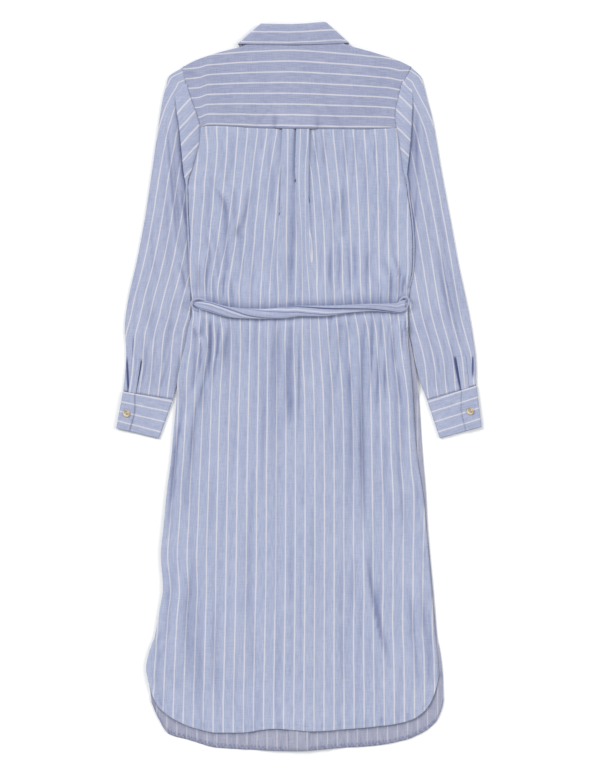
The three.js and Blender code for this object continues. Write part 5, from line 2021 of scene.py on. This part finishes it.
@dataclass
class Belt:
    """Narrow self belt, twisted as it lies across the back and flat under the fronts."""

    back_stations: int = 150
    turn_stations: int = 8
    front_stations: int = 50
    around: int = 96
    front_half_width: float = 9.0
    low: float = 0.7

    def turn(self, side: Side, top: tuple[float, float, float]) -> tuple[Array, ...]:
        """Turns the belt down round the dress's side.

        Args:
            side: The side of the dress.
            top: Drop, half width and Z where the back run ends.

        Returns:
            What `path` gives, for the stations from the back run to the front.
        """
        turns = np.linspace(0, np.pi, self.turn_stations + 2)[1:-1]
        lift = (1 + np.cos(turns)) / 2
        x = (BELT_RIGHT if side is Side.RIGHT else BELT_LEFT) + side.sign * BELT_LIFT * np.sin(turns)
        facing = turns if side is Side.RIGHT else 2 * np.pi - turns
        ends = zip((BELT_FRONT_DROP, self.front_half_width, self.low), top)
        drop, width, z = (mix(end, start, lift) for end, start in ends)
        return x, drop, z, width, np.full_like(turns, 0.7), facing, lift * 0

    def path(self) -> tuple[Array, ...]:
        """Follows the belt round the dress.

        Returns:
            Centre, half width, half height, facing and share of twist at each station.
        """
        x = np.linspace(BELT_LEFT, BELT_RIGHT, self.back_stations)
        drop, width = belt_line(x), belt_half_width(x)
        high = mix(1.2, 3.4, smooth_step(np.minimum(x - BELT_LEFT, BELT_RIGHT - x), 0, 26))
        z = back_middle(x, drop) + 1.2 + high
        back = (x, drop, z, width, high, np.zeros_like(x), np.ones_like(x))
        right = self.turn(Side.RIGHT, (drop[-1], width[-1], z[-1]))
        left = self.turn(Side.LEFT, (drop[0], width[0], z[0]))
        x_front = np.linspace(BELT_RIGHT, BELT_LEFT, self.front_stations)
        level = (BELT_FRONT_DROP, self.low, self.front_half_width, 0.6, np.pi, 0.0)
        front = (x_front, *[np.full_like(x_front, value) for value in level])
        return tuple(np.concatenate(values) for values in zip(back, right, front, [v[::-1] for v in left]))

    def build(self, finishes: Finishes) -> bpy.types.Object:
        """Makes the belt with its twisted strands.

        Args:
            finishes: The dress's materials.

        Returns:
            The piece.
        """
        x, drop, z, width, high, facing, twist = (values[:, None] for values in self.path())
        angle = np.linspace(0, 2 * np.pi, self.around + 1)[None, :]
        phase = belt_twist(x)
        grooves = np.zeros((len(x), self.around + 1))
        for place, depth, wide in GROOVES:
            aside = (angle - phase - place + np.pi) % (2 * np.pi) - np.pi
            grooves += depth * np.exp(-((aside / wide) ** 2))
        strands = 1 + twist * (0.16 * np.cos(2 * (angle - phase) + 0.6) - grooves)
        aside = width * np.cos(angle) * (1 - 0.12 * twist * (1 - strands))
        rise = high * np.sign(np.sin(angle)) * np.abs(np.sin(angle)) ** 0.75 * np.clip(strands, 0.25, 1.3)
        points = stack(x + rise * np.sin(facing), drop - aside, z + rise * np.cos(facing))
        along = lengths_along(np.hypot(np.diff(x[:, 0]), np.diff(z[:, 0])))
        number = (angle - phase) / (2 * np.pi) * 2.6 + 0.63
        ids = np.arange(points[..., 0].size).reshape(points.shape[:2])
        after = np.roll(ids, -1, axis=0)
        faces = np.stack((ids[:, :-1], ids[:, 1:], after[:, 1:], after[:, :-1]), axis=-1)
        piece = grid_shell("belt_cloth", points, pair(number * PITCH, along[:, None]), faces)
        # Painted shade in the belt's grooves, where it twists.
        mark_painted_shade(piece, (np.clip(grooves * 2, 0, 1.8) * twist).ravel())
        finishes.dress(piece, Fabric.BELT)
        return declare(piece, "belt")


@dataclass
class BeltKnot:
    """The knot under the fronts: a small flattened turn of the belt."""

    half_width: float = 11.0
    half_height: float = 0.62
    z: float = 2.1

    def build(self, finishes: Finishes) -> bpy.types.Object:
        """Makes the knot.

        Args:
            finishes: The dress's materials.

        Returns:
            The piece.
        """
        turn = np.linspace(0, 2 * np.pi, 49)[None, :]
        ring = np.linspace(0, 1, 9)[:, None]
        points = []
        for face in (1, -1):
            reach = self.half_width * ring * (1 + 0.05 * np.sin(3 * turn))
            fold = 0.16 * np.sin(reach * np.cos(turn) * 1.1 + 0.5)
            rise = face * (self.half_height * np.sqrt(1 - (ring * 0.999) ** 4) + fold * (1 - ring) ** 0.5)
            drop = BELT_FRONT_DROP + 0.85 * reach * np.sin(turn)
            points.append(stack(reach * np.cos(turn), drop, self.z + rise))
        grid = np.concatenate((points[0], points[1][::-1]))
        ids = np.arange(grid[..., 0].size).reshape(grid.shape[:2])
        faces = np.stack((ids[:-1, :-1], ids[1:, :-1], ids[1:, 1:], ids[:-1, 1:]), axis=-1)
        piece = grid_shell("belt_knot_cloth", grid, grid[..., :2], faces)
        finishes.dress(piece, Fabric.BELT)
        return declare(piece, "belt_knot")


@dataclass
class BeltEnd(SidedPiece):
    """One free end of the belt, with a blunt point, which hangs from the knot under the fronts."""

    side: Side
    length: float
    spread: float
    half_width: float = 7.0
    start_drop: float = 439.3
    stem = "belt_end"
    thickness = 1.1
    fabrics = (Fabric.BELT, Fabric.BELT)

    def surface(self) -> tuple[Array, Array]:
        """Works out the end's middle points and stripe places.

        Returns:
            The grid of points and the grid of places on the flat cloth.
        """
        t = np.linspace(0, 1, 60)[:, None]
        w = np.linspace(-1, 1, 11)[None, :]
        x = self.side.sign * (9 + self.spread * t) + self.half_width * w
        drop = self.start_drop + self.length * t - 7 * np.abs(w) * smooth_step(t, 0.93, 1)
        seam = 0.12 * np.exp(-(((np.abs(w) - 0.72) / 0.12) ** 2))
        z = 0.68 - seam + 0.06 * ripple(x, drop, 71, 24, 3)
        return stack(x, drop, z), pair(self.half_width * w + 0 * t, drop)


@dataclass
class BeltLoop(SidedPiece):
    """Narrow strip at a side seam, drawn round the end of the belt's back run."""

    side: Side
    track: Sequence[Sequence[float]]
    half_width: float = 1.3
    stem = "belt_loop"
    thickness = 0.8
    fabrics = (Fabric.BELT, Fabric.BELT)

    def surface(self) -> tuple[Array, Array]:
        """Works out the strip along its track of columns, rows and heights.

        Returns:
            The grid of points and the grid of places on the flat cloth.
        """
        line = smooth_path(self.track)(np.linspace(0, 1, 61))
        x, drop, rise = across(line[:, 0]), down(line[:, 1]), line[:, 2]
        run_x, run_drop = np.gradient(x), np.gradient(drop)
        length = np.hypot(run_x, run_drop)
        w = np.linspace(-1, 1, 9)[None, :]
        xs = x[:, None] + self.half_width * w * (run_drop / length)[:, None]
        drops = drop[:, None] - self.half_width * w * (run_x / length)[:, None]
        z = back_middle(xs, drops) + rise[:, None] + 0.25 * (1 - w**2)
        return stack(xs, drops, z), pair(self.half_width * w + 5.2, np.cumsum(length)[:, None])


def ring_points(
    centre: tuple[float, float], radius: float, z: float, steps: int
) -> list[tuple[float, float, float]]:
    """Goes once round a circle.

    Args:
        centre: Its centre, in millimetres.
        radius: Its radius.
        z: Its height.
        steps: How many points.

    Returns:
        The points, in millimetres.
    """
    turns = [2 * math.pi * i / steps for i in range(steps)]
    return [(centre[0] + radius * math.cos(turn), centre[1] + radius * math.sin(turn), z) for turn in turns]


def ring_walls(first: int, rings: int, steps: int) -> list[tuple[int, ...]]:
    """Joins each ring of points to the next.

    Args:
        first: Number of the first ring's first point.
        rings: How many rings.
        steps: How many points each has.

    Returns:
        The faces.
    """
    faces = []
    for start in range(first, first + (rings - 1) * steps, steps):
        for i in range(steps):
            a, b = start + i, start + (i + 1) % steps
            faces.append((a, b, b + steps, a + steps))
    return faces


@dataclass
class Button:
    """Four-hole shirt button with a raised rim, and the thread that sews it on."""

    name: str
    facing: int = 1
    turned: float = 0.4
    hole: float = 0.62
    hole_place: float = 1.25
    profile: Sequence[tuple[float, float]] = (
        (0.0, 0.0), (4.6, 0.0), (5.4, 0.35), (5.8, 1.1), (5.6, 1.9), (5.1, 2.3), (4.5, 2.2), (4.1, 1.75),
        (3.6, 1.55), (2.0, 1.45), (0.0, 1.4),
    )

    def blank(self) -> bpy.types.Object:
        """Turns the button on a lathe.

        Returns:
            The button without its holes.
        """
        steps = 48
        points = [(0.0, 0.0, 0.0)]
        for radius, height in self.profile[1:-1]:
            points += ring_points((0.0, 0.0), radius, height, steps)
        points.append((0.0, 0.0, self.profile[-1][1]))
        rings = len(self.profile) - 2
        last = 1 + (rings - 1) * steps
        faces = [(0, 1 + (i + 1) % steps, 1 + i) for i in range(steps)]
        faces += ring_walls(1, rings, steps)
        faces += [(last + i, last + (i + 1) % steps, len(points) - 1) for i in range(steps)]
        return self.local_object(f"{self.name}_horn", points, faces)

    @staticmethod
    def local_object(name: str, points: list, faces: list) -> bpy.types.Object:
        """Makes an object from points in millimetres about its own middle."""
        return make_object(name, (np.array(points) * MILLIMETRE).tolist(), faces)

    def drill(self, piece: bpy.types.Object) -> None:
        """Cuts the four holes.

        Args:
            piece: The blank.
        """
        points, faces = [], []
        steps = 12
        away = self.hole_place * math.sqrt(2)
        for k in range(4):
            turn = math.pi / 4 + k * math.pi / 2
            start = len(points)
            for z in (-1.0, 4.0):
                points += ring_points((away * math.cos(turn), away * math.sin(turn)), self.hole, z, steps)
            faces.append(tuple(start + i for i in reversed(range(steps))))
            faces.append(tuple(start + steps + i for i in range(steps)))
            faces += ring_walls(start, 2, steps)
        cutter = self.local_object("button_drill", points, faces)
        cut = piece.modifiers.new("holes", "BOOLEAN")
        cut.object = cutter
        cut.operation = "DIFFERENCE"
        cut.solver = "EXACT"
        graph = bpy.context.evaluated_depsgraph_get()
        drilled = bpy.data.meshes.new_from_object(piece.evaluated_get(graph))
        piece.modifiers.clear()
        piece.data = drilled
        bpy.data.objects.remove(cutter)

    def thread(self) -> bpy.types.Object:
        """Lays the crossed thread over the holes and down through them.

        Returns:
            The thread.
        """
        points, faces = [], []
        place = self.hole_place
        steps = 6
        for start, end in (((-place, -place), (place, place)), ((place, -place), (-place, place))):
            path = [(start, 0.2), (start, 1.5), (start, 1.75), (end, 1.75), (end, 1.5), (end, 0.2)]
            first = len(points)
            along = math.atan2(end[1] - start[1], end[0] - start[0])
            for k, ((x, y), z) in enumerate(path):
                standing = k in (0, 1, 4, 5)
                for i in range(steps):
                    angle = 2 * math.pi * i / steps
                    side = 0.3 * math.cos(angle)
                    over = 0.22 * math.sin(angle)
                    ahead = (over if k < 3 else -over) if standing else 0.0
                    rise = 0.0 if standing else over
                    points.append((x - side * math.sin(along) + ahead * math.cos(along),
                                   y + side * math.cos(along) + ahead * math.sin(along), z + rise))
            faces += ring_walls(first, len(path), steps)
        return self.local_object(f"{self.name}_thread", points, faces)

    def build(self, finishes: Finishes) -> bpy.types.Object:
        """Makes the button, drills it and sews it on.

        Args:
            finishes: The dress's materials.

        Returns:
            The button.
        """
        piece = self.blank()
        self.drill(piece)
        sewn = self.thread()
        low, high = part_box(self.name)
        middle = [(low[k] + high[k]) / 2 for k in range(3)]
        base = low[2] if self.facing > 0 else high[2]
        for item in (piece, sewn):
            item.location = (middle[0], middle[1], base)
            item.rotation_euler = (0 if self.facing > 0 else math.pi, 0, self.turned)
        piece.data.materials.clear()
        piece.data.materials.append(finishes.horn)
        sewn.data.materials.append(finishes.thread)
        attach(sewn, "root")
        return declare(piece, self.name, "button")


@dataclass
class Stitching:
    """Rows of short machine stitches, gathered in one piece for each seam."""

    name: str
    length: float = 2.1
    gap: float = 0.9
    half_width: float = 0.22
    points: list = field(default_factory=list)
    faces: list = field(default_factory=list)

    def row(self, line: Array, facing: int = 1) -> None:
        """Sews along a line.

        Args:
            line: X, drop and Z of points on the cloth's face.
            facing: 1 where the face is up and -1 where it is down.
        """
        steps = np.linalg.norm(np.diff(line, axis=0), axis=1)
        lengths = lengths_along(steps)
        starts = np.arange(self.gap, lengths[-1] - self.length, self.length + self.gap)
        for start in starts:
            a, b = ([float(np.interp(start + extra, lengths, line[:, k])) for k in range(3)]
                    for extra in (0, self.length))
            ahead = np.array(b) - np.array(a)
            ahead /= max(np.linalg.norm(ahead), 1e-6)
            aside = np.array((-ahead[1], ahead[0], 0)) * self.half_width
            middle = (np.array(a) + np.array(b)) / 2
            up = np.array((0, 0, 0.24 * facing))
            first = len(self.points)
            ends = 0.22 * up
            top = ahead * self.length * 0.28
            self.points += [np.array(a) - ends, middle + aside - ends]
            self.points += [np.array(b) - ends, middle - aside - ends]
            self.points += [middle + up - top, middle + up + top]
            around = ((0, 1, 5, 4), (1, 2, 5), (2, 3, 4, 5), (3, 0, 4), (3, 2, 1, 0))
            self.faces += [tuple(first + i for i in face) for face in around]

    def build(self, finishes: Finishes) -> bpy.types.Object:
        """Makes the gathered stitches.

        Args:
            finishes: The dress's materials.

        Returns:
            The piece.
        """
        piece = make_object(self.name, SEAT.place(np.array(self.points)).tolist(), self.faces)
        piece.data.materials.append(finishes.thread)
        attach(piece, "root")
        return piece


@dataclass
class Sewing:
    """Every visible row of stitching, laid on the faces of the cloth."""

    lift: float = 0.3
    yoke_insets: tuple[float, float] = (1.6, 6.4)
    hem_inset: float = 8.0
    cuff_rows_at: tuple[float, float] = (0.09, 0.91)
    band_rows_at: tuple[float, float] = (-15.0, 15.0)

    def body_rows(self) -> list[Stitching]:
        """Sews the yoke seam and both hems.

        Returns:
            The yoke's, the back hem's and the front hem's stitching.
        """
        yoke = Stitching("stitching_yoke")
        x = np.linspace(-164, 160, 400)
        shape = BackYoke()
        for inset in self.yoke_insets:
            drop = yoke_seam(x) - inset
            yoke.row(stack(x, drop, shape.height(x, drop) + self.lift))
        panel = BackPanel()
        hem = Stitching("stitching_back_hem", length=2.4)
        x = np.linspace(-222, 216, 500)
        drop = back_hem(x) - self.hem_inset
        hem.row(stack(x, drop, panel.height(x, drop) + self.lift))
        front = Stitching("stitching_front_hem", length=2.4)
        for low, high in ((-214, -20), (20, 210)):
            x = np.linspace(low, high, 260)
            drop = front_hem(x) - self.hem_inset
            z = front_middle(x, drop) + pucker(np.full_like(x, self.hem_inset), x, 0.6, 13)
            front.row(stack(x, drop, z + self.lift + 0.25))
        return [yoke, hem, front]

    def cuff_rows(self) -> list[Stitching]:
        """Sews round both cuffs and along their overlaps.

        Returns:
            Each cuff's stitching.
        """
        made = []
        for cuff in CUFFS:
            sewn = Stitching(f"stitching_cuff_{cuff.side.value}")
            for along in self.cuff_rows_at:
                overlap = float(mix(*cuff.overlap, along))
                for low, high, z in ((0.04, overlap - 0.03, cuff.high), (overlap + 0.02, 0.97, cuff.middle)):
                    share = np.linspace(low, high, 60)
                    place = cuff.place(share, np.full(60, along))
                    sewn.row(stack(place[:, 0], place[:, 1], np.full(60, z + 0.6)))
            along = np.linspace(*self.cuff_rows_at, 50)
            bulge = cuff.bulge * np.sin(np.pi * along) ** 1.5
            place = cuff.place(mix(*cuff.overlap, along) + bulge - 0.03, along)
            sewn.row(stack(place[:, 0], place[:, 1], np.full(50, cuff.high + 0.68)))
            made.append(sewn)
        return made

    def collar_rows(self) -> list[Stitching]:
        """Sews along the collar's edge on the back.

        Returns:
            The collar's stitching.
        """
        sewn = Stitching("stitching_collar")
        points, _ = LEAF.surface()
        row = points[-5]
        back = row[row[:, 2] > 6.2]
        sewn.row(back + (0, 0, 0.55))
        return [sewn]

    def band_rows(self) -> list[Stitching]:
        """Sews the button band's two edges, on the side that lies down.

        Returns:
            The band's stitching.
        """
        sewn = Stitching("stitching_band", length=2.6)
        drop = np.linspace(72, 1150, 900)
        for x in self.band_rows_at:
            z = front_middle(np.full_like(drop, x), drop) - 0.6
            sewn.row(stack(np.full_like(drop, x), drop, z), facing=-1)
        return [sewn]


def buttons() -> list[Button]:
    """Lists the front buttons, which face down, and one button for each cuff.

    Returns:
        The buttons.
    """
    count = 8
    made = [Button(f"front_button_{i + 1}", facing=-1, turned=0.3 * i) for i in range(count)]
    return made + [Button(f"cuff_button_{side.value}", turned=0.5) for side in Side]


@dataclass
class Studio:
    """Pale floor, soft light from above and the camera of the photograph."""

    centre: tuple[float, float] = (1.65, 556.05)
    distance_m: float = 3.2
    frame_height_m: float = 765 * PIXEL * MILLIMETRE
    sensor: float = 36.0
    suns: Sequence[tuple[str, float, float, float]] = (
        ("left_window", 1.95, 56, -125), ("right_window", 1.15, 60, 100),
    )
    softness: float = 24.0
    sky: float = 0.6
    floor_size: float = 6.0
    floor_z: float = -0.0006

    def camera(self) -> None:
        """Looks straight down over the middle of the photograph."""
        data = bpy.data.cameras.new("photo_camera")
        data.sensor_width = self.sensor
        data.lens = self.sensor * self.distance_m / self.frame_height_m
        data.clip_end = 50
        camera = bpy.data.objects.new("photo_camera", data)
        place = SEAT.place(np.array([[self.centre[0], self.centre[1], 0]]))[0]
        camera.location = (place[0], place[1], self.distance_m)
        bpy.context.scene.collection.objects.link(camera)
        bpy.context.scene.camera = camera

    def floor(self, material: bpy.types.Material) -> None:
        """Lays the floor just under the dress.

        Args:
            material: The floor's finish.
        """
        size, z = self.floor_size, self.floor_z
        mesh = bpy.data.meshes.new("floor")
        corners = [(-size, -size, z), (size, -size, z), (size, size, z), (-size, size, z)]
        mesh.from_pydata(corners, [], [(0, 1, 2, 3)])
        floor = bpy.data.objects.new("floor", mesh)
        floor.data.materials.append(material)
        bpy.context.scene.collection.objects.link(floor)

    def lights(self) -> None:
        """Lets soft light in from both sides of a pale room, more of it from the top left."""
        for name, strength, tilt, turn in self.suns:
            data = bpy.data.lights.new(name, "SUN")
            data.energy = strength
            data.angle = math.radians(self.softness)
            light = bpy.data.objects.new(name, data)
            light.rotation_euler = (math.radians(tilt), 0, math.radians(turn))
            bpy.context.scene.collection.objects.link(light)
        world = bpy.data.worlds.new("pale_room")
        world.use_nodes = True
        background = world.node_tree.nodes["Background"]
        background.inputs["Color"].default_value = (0.96, 0.98, 1.0, 1)
        background.inputs["Strength"].default_value = self.sky
        bpy.context.scene.world = world
        bpy.context.scene.view_settings.view_transform = "Standard"

    def build(self, finishes: Finishes) -> None:
        """Sets up the camera, floor and light.

        Args:
            finishes: The materials, the floor's among them.
        """
        self.camera()
        self.floor(finishes.floor)
        self.lights()


def main() -> None:
    """Builds the dress piece by piece and reports each."""
    logging.basicConfig(level=logging.INFO, format="%(name)s: %(message)s")
    finishes = Finishes()
    Studio().build(finishes)
    sewing = Sewing()
    parts = [
        Belt(), BeltKnot(), BeltEnd(Side.LEFT, 190, 16), BeltEnd(Side.RIGHT, 165, 18),
        FrontPanel(Side.LEFT), FrontPanel(Side.RIGHT),
        ButtonBand("band_outer", 0.0), ButtonBand("band_inner", LAYER_STEP),
        BackPanel(), BackYoke(), STAND, LEAF, Sleeve(LEFT_SLEEVE), Sleeve(RIGHT_SLEEVE),
        SleevePlacket(LEFT_SLEEVE), SleevePlacket(RIGHT_SLEEVE), *CUFFS,
        BeltLoop(Side.LEFT, LEFT_LOOP), BeltLoop(Side.RIGHT, RIGHT_LOOP), *buttons(),
        *sewing.body_rows(), *sewing.cuff_rows(), *sewing.collar_rows(), *sewing.band_rows(),
    ]
    for part in parts:
        made = part.build(finishes)
        log.info("%s: %d faces", made.name, len(made.data.polygons))


if __name__ == "__main__":
    main()
